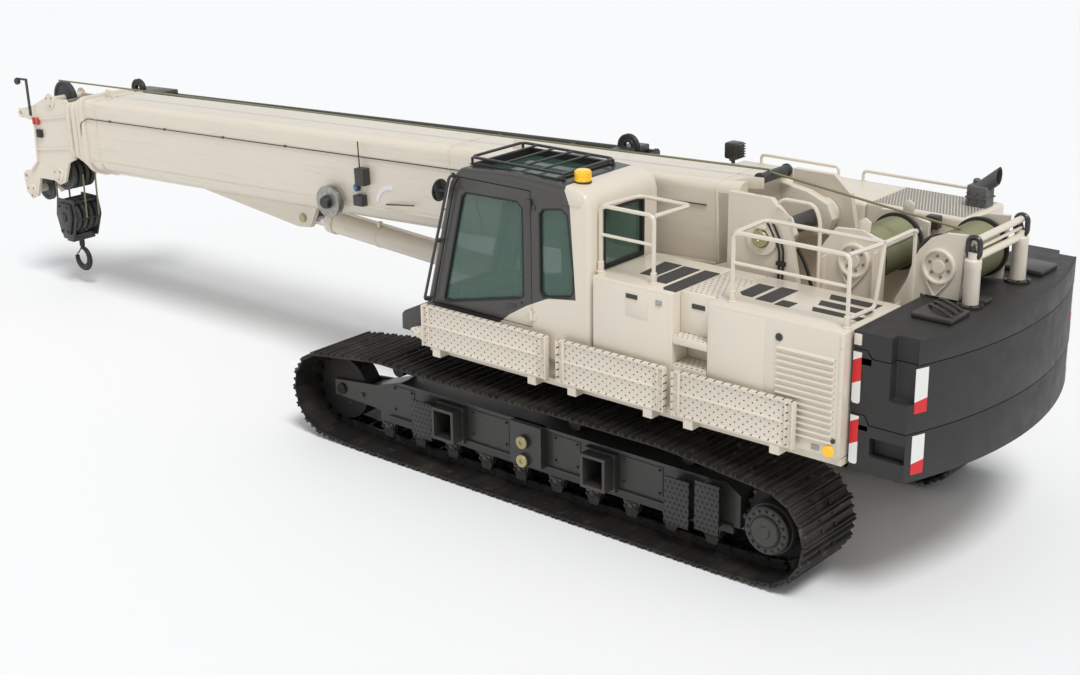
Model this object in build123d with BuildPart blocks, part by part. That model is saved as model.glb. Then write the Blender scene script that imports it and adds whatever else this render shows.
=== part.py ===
"""Crawler crane with a telescopic boom, built as separate pieces in one frame.

X points forward along the stowed boom, Y to the crane's left and Z up. The
origin lies on the ground, on the axis about which the upper works turn.
All lengths are in millimetres and all angles in degrees.
"""

import os
from math import cos, radians, sin

from build123d import *

os.makedirs("parts", exist_ok=True)

# Clearances
RUN_GAP = 0.3  # between a pin or shaft and its bore
RING_GAP = 0.8  # between the turntable's spigot and the slewing ring
MOVE_GAP = 6.0  # between pieces that pass each other

# Crawlers
TRACK_LENGTH = 5290.0
OVERALL_WIDTH = 3000.0
SHOE_WIDTH = 700.0
END_RADIUS = 400.0  # over the shoe bars, at idler and sprocket
END_LIFT = 20.0  # height of the end wheels' lowest shoe
FLAT_HALF = 1850.0
BAR_HEIGHT = 25.0
SHOE_PLATE = 25.0
CHAIN_HEIGHT = 70.0
CHAIN_WIDTH = 190.0
TOP_CARRIED = 905.0  # height of the top run over a carrier roller
TOP_SAGGED = 893.0
CARRIER_X = (1600.0, -340.0, -1430.0)
LOWER_ROLLERS = 10
LOWER_ROLLER_RADIUS = 86.0
END_ROLLER_INSET = 160.0  # from the end of the flat run to the first roller
CARRIER_RADIUS = 62.0
CARRIER_DROP = 3.0  # room for the chain's small kink over a carrier
ROLLER_WIDTH = 188.0
FLANGE_INNER = 64.0
CARRIER_HALF = 70.0
IDLER_HALF = 88.0

# Side frames and their telescoping beams
FRAME_HALF = 120.0  # half the width of a side frame
FRAME_WALL = 22.0
FRAME_BOTTOM = 300.0
FRAME_TOP = 650.0
GUARD_BOTTOM = 240.0
BRACKET_BOTTOM = 105.0  # foot of the brackets that carry the rollers
FRAME_FRONT = 1940.0
FRAME_REAR = -1940.0
HUB_RADIUS = 180.0
HUB_OUTER_Y = 1400.0
BEAM_WIDTH = 240.0
BEAM_HEIGHT = 280.0
BEAM_BOTTOM = 310.0
BEAM_WALL = 25.0
BEAM_OUTER_Y = 1420.0
BEAM_LENGTH = 1700.0
FRONT_BEAM_X = 910.0
REAR_BEAM_X = -670.0
BEAM_STEP = 330.0  # the right-hand beams lie this far behind the left-hand ones
LUG_SPAN = (-95.0, 230.0)
LUG_LEVELS = (300.0, 650.0)
LUG_OUT = 80.0
LUG_PINS = ((80.0, 500.0), (80.0, 340.0))
LUG_PIN_RADIUS = 58.0
STEP_OUT = 112.0  # from the side frame's face to its step plates
STEP_THICK = 8.0
STEP_PLATES = ((1070.0, 1290.0, 260.0, 580.0), (-1550.0, -1330.0, 220.0, 600.0),
               (-1820.0, -1610.0, 250.0, 640.0))
CARBODY_HALF = 720.0
CARBODY_WALL = 25.0

# Slewing ring and turntable
CARBODY_TOP = 900.0
RING_RADIUS = 700.0
RING_TOP = 1055.0
SPIGOT_RADIUS = 400.0
DECK_BOTTOM = 1060.0
DECK_FRONT = 1080.0
DECK_REAR = -2800.0
FRAME_BOX_HALF = 480.0
FRAME_BOX_TOP = 1400.0
FRAME_BOX_FRONT = 700.0
CHEEK_INNER = 425.0
CHEEK_OUTER = 480.0
CHEEK_TOP = 2590.0

# Boom
FOOT_X = -1550.0
FOOT_Z = 2280.0
FOOT_PIN_RADIUS = 70.0
BOOM_DROP = 2.5  # the stowed boom slopes down towards its tip
BOOM_WIDTH = 660.0
BOOM_TOP = 345.0  # above the line from the foot pin along the boom
BOOM_BOTTOM = -475.0
BOOM_CORNER = 85.0
BOOM_WALL = 20.0
SECTION_STEP = 36.0  # wall plus running gap, from one section to the next
BASE_START = 300.0
BASE_END = 8620.0
SECTION_LIP = 130.0  # what each section shows past the one around it
SECTION_TAIL = 260.0  # what each section stays short of the one around it
COLLAR = 26.0
ROPE_ROLLER_S = 210.0
ROPE_ROLLER_H = 365.0
ROPE_ROLLER_RADIUS = 42.0
ROPE_ROLLER_HALF = 200.0

# Lift cylinder
ROD_PIN_X = 3900.0
ROD_PIN_Z = 1446.0
BARREL_PIN_X = 250.0
BARREL_PIN_Z = 1250.0
BARREL_RADIUS = 105.0
ROD_RADIUS = 72.0
CYLINDER_PIN_RADIUS = 45.0
EYE_RADIUS = 95.0
EYE_HALF = 70.0
LUG_THICK = 40.0
BARREL_SLOT = 130.0

# Deck housings
HOUSING_SIDE = 1380.0
HOUSING_BOTTOM = 1110.0
HOUSING_TOP = 2040.0
HOUSING_INNER = 600.0
FRONT_HOUSING = (-1380.0, -640.0)
REAR_HOUSING = (-2800.0, -1680.0)
HOOD_SIDE = -1300.0
HOOD_INNER = -640.0
HOOD_TOP = 2360.0
HOOD_STEP_X = -1770.0
HOOD_SPAN = (-2650.0, -200.0)
HOOD_WALL = 30.0
RAIL_INSET = 110.0

# Walkways
WALKWAY_OUT = 70.0  # from the housings' side to the folded walkways' outer face
WALKWAY_OUTER = HOUSING_SIDE + WALKWAY_OUT
WALKWAY_THICK = 40.0
WALKWAY_BOTTOM = 1130.0
WALKWAY_HEIGHT = 355.0
WALKWAYS = (("walkway_front", -245.0, 1070.0), ("walkway_middle", -1365.0, -345.0),
            ("walkway_rear", -2470.0, -1430.0))
WALKWAY_TOP = WALKWAY_BOTTOM + WALKWAY_HEIGHT

# Cab
CAB_INSET = 10.0  # the cab's side stands this far in from the housings' side
CAB_LEFT = HOUSING_SIDE - CAB_INSET
CAB_RIGHT = 500.0
CAB_WALL = 50.0
CAB_FLOOR = 1250.0
CAB_REAR = -610.0
CAB_FRONT = 1090.0
CAB_KNEE = 1480.0  # height at which the windscreen starts to lean back
CAB_BROW_X = 800.0
CAB_BROW_Z = 2540.0
CAB_ROOF = 2690.0
GLASS = 8.0
DOOR_REAR = -45.0
DOOR_SILL = WALKWAY_TOP + MOVE_GAP + 2
DOOR_HEAD = 2590.0
HINGE_X = DOOR_REAR + MOVE_GAP / 2
HINGE_RADIUS = 14.0
HINGE_LEAF = 8.0
HINGE_HEIGHT = 40.0
HINGE_LEVELS = (1560.0, 2440.0)

# Counterweight
WEIGHT_FRONT = -2820.0
WEIGHT_HALF = 1300.0
WEIGHT_RADIUS = 3500.0
WEIGHT_LEVELS = (1030.0, 1390.0, 1870.0, 2050.0)
TONGUE_HALF = 450.0
TONGUE_REAR = -3100.0
TONGUE_TOP = 1300.0

# Winches
DRUM_HALF = 290.0
DRUM_FLANGE = 222.0
DRUM_CORE = 150.0
FLANGE_THICK = 22.0
DRUM_SHAFT = 55.0
WINCH_PLATE = 40.0
DRUMS = (("front_drum", -2260.0, 2205.0), ("rear_drum", -2935.0, 2285.0))

# Rails
RAIL_RADIUS = 17.0


def block(x_span, y_span, z_span, mode=Mode.ADD):
    """A box between two values on each axis."""
    spans = (x_span, y_span, z_span)
    middle = tuple((low + high) / 2 for low, high in spans)
    with Locations(middle):
        Box(*(abs(high - low) for low, high in spans), mode=mode)


def slab(points, y_from, y_to, plane=Plane.XZ, mode=Mode.ADD):
    """A plate between two Y values, its outline given as (x, z) points."""
    with BuildSketch(plane.offset(-y_from)) as outline:
        with BuildLine():
            Polyline(*points, close=True)
        make_face()
    extrude(outline.sketch, amount=y_from - y_to, mode=mode)


def disc(x, z, radius, y_from, y_to, plane=Plane.XZ, mode=Mode.ADD):
    """A round bar across the crane."""
    with BuildSketch(plane.offset(-y_from)) as outline:
        with Locations((x, z)):
            Circle(radius)
    extrude(outline.sketch, amount=y_from - y_to, mode=mode)


def bar(start, end, radius, mode=Mode.ADD):
    """A round bar between two points."""
    run = Vector(*end) - Vector(*start)
    with BuildSketch(Plane(origin=start, z_dir=run)) as outline:
        Circle(radius)
    extrude(outline.sketch, amount=run.length, mode=mode)


def rail(points, radius=RAIL_RADIUS):
    """A bent tube through the points, its corners filled by balls."""
    for start, end in zip(points, points[1:]):
        bar(start, end, radius)
    for corner in points[1:-1]:
        with Locations(corner):
            Sphere(radius)


def save(name, builder):
    """Label one piece and write it."""
    builder.part.label = name
    export_step(builder.part, f"parts/{name}.step")


# Crawlers
TRACK_Y = (OVERALL_WIDTH - SHOE_WIDTH) / 2
IDLER_X = TRACK_LENGTH / 2 - END_RADIUS
SPROCKET_X = -IDLER_X
WHEEL_Z = END_RADIUS + END_LIFT
TRACK_DEPTH = BAR_HEIGHT + SHOE_PLATE + CHAIN_HEIGHT
WHEEL_RADIUS = END_RADIUS - TRACK_DEPTH - RUN_GAP
SAG_X = (CARRIER_X[0] + CARRIER_X[1]) / 2


def track_band(y_middle, width, outer_depth, inner_depth):
    """A closed band of the track between two depths under its outer outline."""
    top = 2 * END_RADIUS + END_LIFT
    with BuildSketch(Plane.XZ.offset(-y_middle)) as ring:
        with BuildLine():
            Polyline((IDLER_X, END_LIFT), (FLAT_HALF, 0), (-FLAT_HALF, 0), (SPROCKET_X, END_LIFT))
            ThreePointArc((SPROCKET_X, END_LIFT), (SPROCKET_X - END_RADIUS, WHEEL_Z), (SPROCKET_X, top))
            Polyline((SPROCKET_X, top), (CARRIER_X[2], TOP_CARRIED), (CARRIER_X[1], TOP_CARRIED),
                     (SAG_X, TOP_SAGGED), (CARRIER_X[0], TOP_CARRIED), (IDLER_X, top))
            ThreePointArc((IDLER_X, top), (IDLER_X + END_RADIUS, WHEEL_Z), (IDLER_X, END_LIFT))
        make_face()
        if outer_depth:
            offset(amount=-outer_depth, mode=Mode.REPLACE)
        offset(amount=outer_depth - inner_depth, mode=Mode.SUBTRACT)
    extrude(ring.sketch, amount=width / 2, both=True)


for side, name in ((1, "left"), (-1, "right")):
    middle = side * TRACK_Y
    beam_shift = 0.0 if side > 0 else -BEAM_STEP
    beam_centres = (FRONT_BEAM_X + beam_shift, REAR_BEAM_X + beam_shift)
    beam_z = (BEAM_BOTTOM, BEAM_BOTTOM + BEAM_HEIGHT)
    roller_pitch = 2 * (FLAT_HALF - END_ROLLER_INSET) / (LOWER_ROLLERS - 1)
    roller_x = [END_ROLLER_INSET - FLAT_HALF + number * roller_pitch for number in range(LOWER_ROLLERS)]

    with BuildPart() as track:
        track_band(middle, SHOE_WIDTH, 0, BAR_HEIGHT + SHOE_PLATE)
        track_band(middle, CHAIN_WIDTH, BAR_HEIGHT + SHOE_PLATE, TRACK_DEPTH)
    save(f"{name}_track", track)

    with BuildPart() as side_frame:
        slab([(FRAME_REAR, FRAME_BOTTOM), (1650, FRAME_BOTTOM), (FRAME_FRONT, 350), (FRAME_FRONT, 510),
              (1500, FRAME_TOP), (-1800, FRAME_TOP), (FRAME_REAR, 560)],
             middle - FRAME_HALF, middle + FRAME_HALF)
        for edge in (-1, 1):
            outer = middle + edge * FRAME_HALF
            inner = outer - edge * FRAME_WALL
            slab([(FRAME_REAR + 60, GUARD_BOTTOM), (1780, GUARD_BOTTOM), (1780, FRAME_BOTTOM + 20),
                  (FRAME_REAR + 60, FRAME_BOTTOM + 20)], outer, inner)
            for x in roller_x:
                slab([(x - 85, GUARD_BOTTOM + 10), (x - 45, BRACKET_BOTTOM), (x + 45, BRACKET_BOTTOM),
                      (x + 85, GUARD_BOTTOM + 10)], outer, inner)
            slab([(1700, 330), (IDLER_X + 90, 350), (IDLER_X + 90, 490), (1700, 560)], outer, inner)
            disc(IDLER_X, WHEEL_Z, 50 + RUN_GAP, outer, inner, mode=Mode.SUBTRACT)
        inner_face = middle - side * FRAME_HALF
        slab([(FRAME_REAR + 60, 280), (SPROCKET_X, 260), (SPROCKET_X, 580), (FRAME_REAR + 60, 580)],
             inner_face, inner_face + side * 60)
        disc(SPROCKET_X, WHEEL_Z, HUB_RADIUS + 45, inner_face, inner_face + side * 60)
        disc(SPROCKET_X, WHEEL_Z, HUB_RADIUS + RUN_GAP, inner_face, inner_face + side * 60,
             mode=Mode.SUBTRACT)
        for centre in beam_centres:
            block((centre - BEAM_WIDTH / 2, centre + BEAM_WIDTH / 2),
                  (middle - 2 * FRAME_HALF, middle + 2 * FRAME_HALF), beam_z, mode=Mode.SUBTRACT)
        for x in CARRIER_X:
            block((x - 40, x + 40), (inner_face, inner_face + side * 40),
                  (FRAME_TOP - 20, TOP_CARRIED - TRACK_DEPTH - CARRIER_RADIUS + 45))
        outer_face = middle + side * FRAME_HALF
        block(LUG_SPAN, (outer_face, outer_face + side * LUG_OUT), LUG_LEVELS)
        for x, z in LUG_PINS:
            disc(x, z, LUG_PIN_RADIUS, outer_face, outer_face + side * (LUG_OUT + 20))
        plate = (outer_face + side * (STEP_OUT - STEP_THICK), outer_face + side * STEP_OUT)
        for rear, front, low, high in STEP_PLATES:
            block((rear, front), plate, (low, high))
            for z in (low + 40, high - 60):
                block((rear + 30, front - 30), (outer_face, plate[0]), (z, z + STEP_THICK))
    save(f"{name}_side_frame", side_frame)

    with BuildPart() as beams:
        for centre in beam_centres:
            ends = (side * BEAM_OUTER_Y, side * (BEAM_OUTER_Y - BEAM_LENGTH))
            block((centre - BEAM_WIDTH / 2, centre + BEAM_WIDTH / 2), ends, beam_z)
            block((centre - BEAM_WIDTH / 2 + BEAM_WALL, centre + BEAM_WIDTH / 2 - BEAM_WALL),
                  ends, (beam_z[0] + BEAM_WALL, beam_z[1] - BEAM_WALL), mode=Mode.SUBTRACT)
    save(f"{name}_beams", beams)

    with BuildPart() as sprocket:
        disc(SPROCKET_X, WHEEL_Z, WHEEL_RADIUS, middle - 40, middle + 40)
        disc(SPROCKET_X, WHEEL_Z, HUB_RADIUS, inner_face - side * 120, side * HUB_OUTER_Y)
        disc(SPROCKET_X, WHEEL_Z, 120, side * HUB_OUTER_Y, side * (HUB_OUTER_Y + 25))
    save(f"{name}_sprocket", sprocket)

    with BuildPart() as idler:
        disc(IDLER_X, WHEEL_Z, WHEEL_RADIUS, middle - IDLER_HALF, middle + IDLER_HALF)
        disc(IDLER_X, WHEEL_Z, 50, middle - FRAME_HALF - 20, middle + FRAME_HALF + 20)
        disc(IDLER_X, WHEEL_Z, 90, middle - FRAME_HALF + FRAME_WALL, middle + FRAME_HALF - FRAME_WALL)
    save(f"{name}_idler", idler)

    with BuildPart() as rollers:
        for x in roller_x:
            z = TRACK_DEPTH + LOWER_ROLLER_RADIUS + RUN_GAP
            disc(x, z, LOWER_ROLLER_RADIUS - 14, middle - ROLLER_WIDTH / 2, middle + ROLLER_WIDTH / 2)
            for edge in (-1, 1):
                disc(x, z, LOWER_ROLLER_RADIUS, middle + edge * FLANGE_INNER, middle + edge * ROLLER_WIDTH / 2)
            disc(x, z, 35, middle - FRAME_HALF + FRAME_WALL, middle + FRAME_HALF - FRAME_WALL)
        for x in CARRIER_X:
            z = TOP_CARRIED - TRACK_DEPTH - CARRIER_RADIUS - CARRIER_DROP
            disc(x, z, CARRIER_RADIUS, middle - CARRIER_HALF, middle + CARRIER_HALF)
            disc(x, z, 30, inner_face + side * 40, middle + side * CARRIER_HALF)
    save(f"{name}_rollers", rollers)

# Carbody and slewing ring
HOUSING_X = []
for beam_x in (FRONT_BEAM_X, REAR_BEAM_X):
    HOUSING_X.append((beam_x - BEAM_STEP - BEAM_WIDTH / 2 - MOVE_GAP - CARBODY_WALL,
                      beam_x + BEAM_WIDTH / 2 + MOVE_GAP + CARBODY_WALL))
BEAM_TOP = BEAM_BOTTOM + BEAM_HEIGHT

with BuildPart() as carbody:
    for span in HOUSING_X:
        block(span, (-CARBODY_HALF, CARBODY_HALF),
              (BEAM_BOTTOM - MOVE_GAP - CARBODY_WALL, BEAM_TOP + MOVE_GAP + CARBODY_WALL))
    block((HOUSING_X[1][0], HOUSING_X[0][1]), (-520, 520), (BEAM_BOTTOM + 40, BEAM_TOP + 120))
    with BuildSketch(Plane.XY.offset(BEAM_TOP)) as skirt_low:
        Circle(RING_RADIUS + 60)
    with BuildSketch(Plane.XY.offset(CARBODY_TOP)) as skirt_high:
        Circle(RING_RADIUS)
    loft([skirt_low.sketch, skirt_high.sketch])
    for beam_x in (FRONT_BEAM_X, REAR_BEAM_X):
        for shift in (0, -BEAM_STEP):
            centre = beam_x + shift
            block((centre - BEAM_WIDTH / 2 - MOVE_GAP, centre + BEAM_WIDTH / 2 + MOVE_GAP),
                  (-CARBODY_HALF, CARBODY_HALF), (BEAM_BOTTOM - MOVE_GAP, BEAM_TOP + MOVE_GAP),
                  mode=Mode.SUBTRACT)
            for edge in (-1, 1):
                mouth = (edge * (CARBODY_HALF - 80), edge * CARBODY_HALF)
                block((centre - BEAM_WIDTH / 2, centre + BEAM_WIDTH / 2), mouth,
                      (BEAM_BOTTOM - MOVE_GAP, BEAM_BOTTOM - RUN_GAP))
                block((centre - BEAM_WIDTH / 2, centre + BEAM_WIDTH / 2), mouth,
                      (BEAM_TOP + RUN_GAP, BEAM_TOP + MOVE_GAP))
save("carbody", carbody)

with BuildPart() as slewing_ring:
    with BuildSketch(Plane.XY.offset(CARBODY_TOP)) as ring_outline:
        Circle(RING_RADIUS)
        Circle(SPIGOT_RADIUS + RING_GAP, mode=Mode.SUBTRACT)
    extrude(ring_outline.sketch, amount=RING_TOP - CARBODY_TOP)
save("slewing_ring", slewing_ring)

# Turntable
with BuildPart() as turntable:
    block((DECK_REAR, FRAME_BOX_FRONT), (-FRAME_BOX_HALF, FRAME_BOX_HALF), (DECK_BOTTOM, FRAME_BOX_TOP))
    block((DECK_REAR, DECK_FRONT), (FRAME_BOX_HALF, CAB_LEFT - 20), (DECK_BOTTOM, HOUSING_BOTTOM))
    block(HOOD_SPAN, (HOOD_SIDE + 20, -FRAME_BOX_HALF), (DECK_BOTTOM, HOUSING_BOTTOM))
    block((CAB_REAR + 60, CAB_FRONT - 120), (CAB_RIGHT + 60, CAB_LEFT - 60), (DECK_BOTTOM, CAB_FLOOR))
    block((TONGUE_REAR, DECK_REAR), (-TONGUE_HALF, TONGUE_HALF), (HOUSING_BOTTOM, TONGUE_TOP))
    with BuildSketch(Plane.XY.offset(CARBODY_TOP + MOVE_GAP)) as spigot:
        Circle(SPIGOT_RADIUS)
    extrude(spigot.sketch, amount=DECK_BOTTOM - CARBODY_TOP)
    block((BARREL_PIN_X - EYE_RADIUS - 30, FRAME_BOX_FRONT), (-BARREL_SLOT, BARREL_SLOT),
          (HOUSING_BOTTOM, FRAME_BOX_TOP), mode=Mode.SUBTRACT)
    for edge in (-1, 1):
        slab([(300, FRAME_BOX_TOP), (FOOT_X + 310, FOOT_Z - 250), (FOOT_X + 310, CHEEK_TOP),
              (FOOT_X - 60, CHEEK_TOP), (FOOT_X - 210, CHEEK_TOP - 130), (FOOT_X - 330, 1900),
              (-2740, FRAME_BOX_TOP)], edge * CHEEK_INNER, edge * CHEEK_OUTER)
        disc(FOOT_X, FOOT_Z, FOOT_PIN_RADIUS + RUN_GAP, edge * CHEEK_INNER, edge * CHEEK_OUTER,
             mode=Mode.SUBTRACT)
        lug_faces = (edge * (EYE_HALF + RUN_GAP), edge * BARREL_SLOT)
        block((BARREL_PIN_X - EYE_RADIUS, BARREL_PIN_X + EYE_RADIUS), lug_faces,
              (HOUSING_BOTTOM, BARREL_PIN_Z))
        disc(BARREL_PIN_X, BARREL_PIN_Z, EYE_RADIUS, *lug_faces)
        disc(BARREL_PIN_X, BARREL_PIN_Z, CYLINDER_PIN_RADIUS + RUN_GAP, *lug_faces, mode=Mode.SUBTRACT)
    for name, rear, front in WALKWAYS:
        for x in (rear + 150, front - 150):
            block((x - 40, x + 40), (CAB_LEFT - 20, WALKWAY_OUTER), (DECK_BOTTOM, HOUSING_BOTTOM))
            block((x - 40, x + 40), (HOUSING_SIDE + MOVE_GAP, WALKWAY_OUTER),
                  (HOUSING_BOTTOM, WALKWAY_BOTTOM - RUN_GAP))
save("turntable", turntable)

# Cab
CAB_OUTLINE = [(CAB_REAR, CAB_FLOOR), (CAB_FRONT - 30, CAB_FLOOR), (CAB_FRONT, CAB_KNEE),
               (CAB_BROW_X, CAB_BROW_Z), (CAB_BROW_X - 110, CAB_ROOF - 30), (150, CAB_ROOF),
               (CAB_REAR + 130, CAB_ROOF - 20), (CAB_REAR + 30, CAB_ROOF - 70),
               (CAB_REAR, CAB_ROOF - 160)]
SCREEN_RUN = Vector(CAB_BROW_X - CAB_FRONT, 0, CAB_BROW_Z - CAB_KNEE)
SCREEN_PLANE = Plane(origin=(CAB_FRONT, (CAB_LEFT + CAB_RIGHT) / 2, CAB_KNEE), x_dir=(0, 1, 0),
                     z_dir=(SCREEN_RUN.Z, 0, -SCREEN_RUN.X))
SCREEN_WIDTH = CAB_LEFT - CAB_RIGHT - 2 * CAB_WALL - 40
DOOR_OUTLINE = [(DOOR_REAR, DOOR_SILL), (1010, DOOR_SILL), (750, 2500), (690, DOOR_HEAD),
                (DOOR_REAR, DOOR_HEAD)]
DOOR_WINDOW = [(35, 1730), (85, 1700), (820, 1530), (880, 1528), (895, 1560), (672, 2440), (625, 2478),
               (90, 2490), (35, 2440)]
REAR_WINDOW = [(-118, 1800), (-155, 1754), (-425, 1806), (-462, 1860), (-458, 2040), (-405, 2460),
               (-345, 2500), (-160, 2470), (-118, 2425)]
RIGHT_WINDOW = [(-470, 1640), (890, 1560), (700, 2440), (-400, 2500)]
BACK_GLASS = ((690, CAB_LEFT - 170), (2030, 2500))
ROOF_GLASS = ((-240, 620), (CAB_RIGHT + 90, CAB_LEFT - 90))
INNER_LEFT = CAB_LEFT - CAB_WALL
INNER_RIGHT = CAB_RIGHT + CAB_WALL


def inset_slab(points, amount, y_from, y_to, mode=Mode.ADD):
    """A plate between two Y values, its outline drawn in by an amount."""
    with BuildSketch(Plane.XZ.offset(-y_from)) as inset:
        with BuildLine():
            Polyline(*points, close=True)
        make_face()
        offset(amount=-amount, mode=Mode.REPLACE, kind=Kind.INTERSECTION)
    extrude(inset.sketch, amount=y_from - y_to, mode=mode)


def screen_window(amount, thickness, mode=Mode.ADD):
    """The windscreen's opening or pane, square to the leaning front."""
    with BuildSketch(SCREEN_PLANE.offset(-CAB_WALL / 2)) as opening:
        with Locations((0, SCREEN_RUN.length / 2)):
            RectangleRounded(SCREEN_WIDTH - 2 * amount, SCREEN_RUN.length - 120 - 2 * amount, 60 - amount)
    extrude(opening.sketch, amount=thickness / 2, both=True, mode=mode)


with BuildPart() as cab_shell:
    slab(CAB_OUTLINE, CAB_RIGHT, CAB_LEFT)
    inset_slab(CAB_OUTLINE, CAB_WALL, INNER_RIGHT, INNER_LEFT, mode=Mode.SUBTRACT)
    slab(DOOR_OUTLINE, INNER_LEFT - 1, CAB_LEFT + 1, mode=Mode.SUBTRACT)
    slab(REAR_WINDOW, INNER_LEFT - 1, CAB_LEFT + 1, mode=Mode.SUBTRACT)
    slab(RIGHT_WINDOW, CAB_RIGHT - 1, INNER_RIGHT + 1, mode=Mode.SUBTRACT)
    block((CAB_REAR - 1, CAB_REAR + CAB_WALL + 1), *BACK_GLASS, mode=Mode.SUBTRACT)
    block(*ROOF_GLASS, (CAB_ROOF - 110, CAB_ROOF + 20), mode=Mode.SUBTRACT)
    screen_window(0, 3 * CAB_WALL, mode=Mode.SUBTRACT)
    for z in HINGE_LEVELS:
        block((HINGE_X - 45, HINGE_X), (CAB_LEFT, CAB_LEFT + HINGE_LEAF), (z, z + HINGE_HEIGHT))
        bar((HINGE_X, CAB_LEFT + HINGE_RADIUS, z), (HINGE_X, CAB_LEFT + HINGE_RADIUS, z + HINGE_HEIGHT),
            HINGE_RADIUS)
save("cab_shell", cab_shell)

with BuildPart() as cab_glass:
    left_pane = (CAB_LEFT - CAB_WALL / 2 - GLASS / 2, CAB_LEFT - CAB_WALL / 2 + GLASS / 2)
    right_pane = (CAB_RIGHT + CAB_WALL / 2 - GLASS / 2, CAB_RIGHT + CAB_WALL / 2 + GLASS / 2)
    inset_slab(REAR_WINDOW, RUN_GAP, *left_pane)
    inset_slab(RIGHT_WINDOW, RUN_GAP, *right_pane)
    back_x = CAB_REAR + CAB_WALL / 2
    block((back_x - GLASS / 2, back_x + GLASS / 2), *BACK_GLASS)
    block(*ROOF_GLASS, (CAB_ROOF - 58, CAB_ROOF - 58 + GLASS))
    screen_window(RUN_GAP, GLASS)
save("cab_glass", cab_glass)

with BuildPart() as cab_door:
    inset_slab(DOOR_OUTLINE, MOVE_GAP, INNER_LEFT, CAB_LEFT)
    slab(DOOR_WINDOW, INNER_LEFT - 1, CAB_LEFT + 1, mode=Mode.SUBTRACT)
    for z in HINGE_LEVELS:
        low, high = z + HINGE_HEIGHT + RUN_GAP, z + 2 * HINGE_HEIGHT
        block((HINGE_X, HINGE_X + 45), (CAB_LEFT, CAB_LEFT + HINGE_LEAF), (low, high))
        bar((HINGE_X, CAB_LEFT + HINGE_RADIUS, low), (HINGE_X, CAB_LEFT + HINGE_RADIUS, high), HINGE_RADIUS)
save("cab_door", cab_door)

with BuildPart() as door_glass:
    inset_slab(DOOR_WINDOW, RUN_GAP, *left_pane)
save("door_glass", door_glass)

with BuildPart() as operator_seat:
    seat_floor = CAB_FLOOR + CAB_WALL
    seat_y = (CAB_LEFT + CAB_RIGHT) / 2
    block((-250, 150), (seat_y - 190, seat_y + 190), (seat_floor, seat_floor + 260))
    block((-280, 240), (seat_y - 240, seat_y + 240), (seat_floor + 260, seat_floor + 400))
    slab([(-280, seat_floor + 300), (-140, seat_floor + 300), (-230, seat_floor + 980),
          (-350, seat_floor + 980)], seat_y - 230, seat_y + 230)
    for edge in (-1, 1):
        block((-220, 260), (seat_y + edge * 250, seat_y + edge * 340), (seat_floor, seat_floor + 560))
save("operator_seat", operator_seat)

# Deck housings, steps and engine
with BuildPart() as front_housing:
    block(FRONT_HOUSING, (HOUSING_INNER, HOUSING_SIDE), (HOUSING_BOTTOM, HOUSING_TOP))
save("front_housing", front_housing)

with BuildPart() as rear_housing:
    block(REAR_HOUSING, (HOUSING_INNER, HOUSING_SIDE), (HOUSING_BOTTOM, HOUSING_TOP))
save("rear_housing", rear_housing)

STEP_SPAN = (REAR_HOUSING[1], FRONT_HOUSING[0])
with BuildPart() as deck_steps:
    block(STEP_SPAN, (HOUSING_INNER, HOUSING_INNER + 330), (HOUSING_BOTTOM, HOUSING_TOP))
    block(STEP_SPAN, (HOUSING_INNER + 330, HOUSING_SIDE - 250), (HOUSING_BOTTOM, 1720))
    block(STEP_SPAN, (HOUSING_SIDE - 250, HOUSING_SIDE), (HOUSING_BOTTOM, 1500))
save("deck_steps", deck_steps)

with BuildPart() as engine_hood:
    for span, side_y, top in (((HOOD_SPAN[0], HOOD_STEP_X), HOOD_SIDE + 30, HOOD_TOP),
                              ((HOOD_STEP_X, HOOD_SPAN[1]), HOOD_SIDE, HOOD_TOP - 15)):
        block(span, (side_y, HOOD_INNER), (HOUSING_BOTTOM, top))
    block((HOOD_SPAN[0] + HOOD_WALL, HOOD_SPAN[1] - HOOD_WALL), (HOOD_SIDE + 30 + HOOD_WALL,
          HOOD_INNER - HOOD_WALL), (HOUSING_BOTTOM, HOOD_TOP - 15 - HOOD_WALL), mode=Mode.SUBTRACT)
save("engine_hood", engine_hood)

with BuildPart() as engine:
    block((-2350, -1150), (-1210, -720), (HOUSING_BOTTOM, 2050))
save("engine", engine)

with BuildPart() as exhaust:
    slab([(-2680, 2690), (-2640, 2690), (-2560, 2560), (-2460, 2520), (-2460, HOOD_TOP),
          (-2640, HOOD_TOP), (-2640, 2560)], -1060, -940)
save("exhaust", exhaust)

with BuildPart() as search_light:
    bar((-290, -1000, HOOD_TOP - 15), (-290, -1000, 2420), 20)
    block((-380, -230), (-1070, -930), (2420, 2570))
save("search_light", search_light)

# Handrails
RAIL_Y = HOUSING_SIDE - RAIL_INSET
LEFT_RAILS = (
    [(-640, RAIL_Y, HOUSING_TOP), (-640, RAIL_Y, 2550), (-1130, RAIL_Y, 2550), (-1130, RAIL_Y, HOUSING_TOP)],
    [(-640, RAIL_Y, 2300), (-1130, RAIL_Y, 2300)],
    [(-1820, RAIL_Y, HOUSING_TOP), (-1820, RAIL_Y, 2550), (-2750, RAIL_Y, 2550), (-2750, RAIL_Y, HOUSING_TOP)],
    [(-1820, RAIL_Y, 2300), (-2750, RAIL_Y, 2300)],
)
RIGHT_RAILS = (
    [(-390, -1260, HOOD_TOP - 15), (-390, -1260, 2640), (-1150, -1260, 2640), (-1150, -1260, HOOD_TOP - 15)],
    [(-1300, -1260, HOOD_TOP - 15), (-1300, -1260, 2640), (-1700, -1260, 2640),
     (-1700, -1260, HOOD_TOP - 15)],
)
for name, rails in (("left_handrails", LEFT_RAILS), ("right_handrails", RIGHT_RAILS)):
    with BuildPart() as handrails:
        for path in rails:
            rail(path)
    save(name, handrails)

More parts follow.
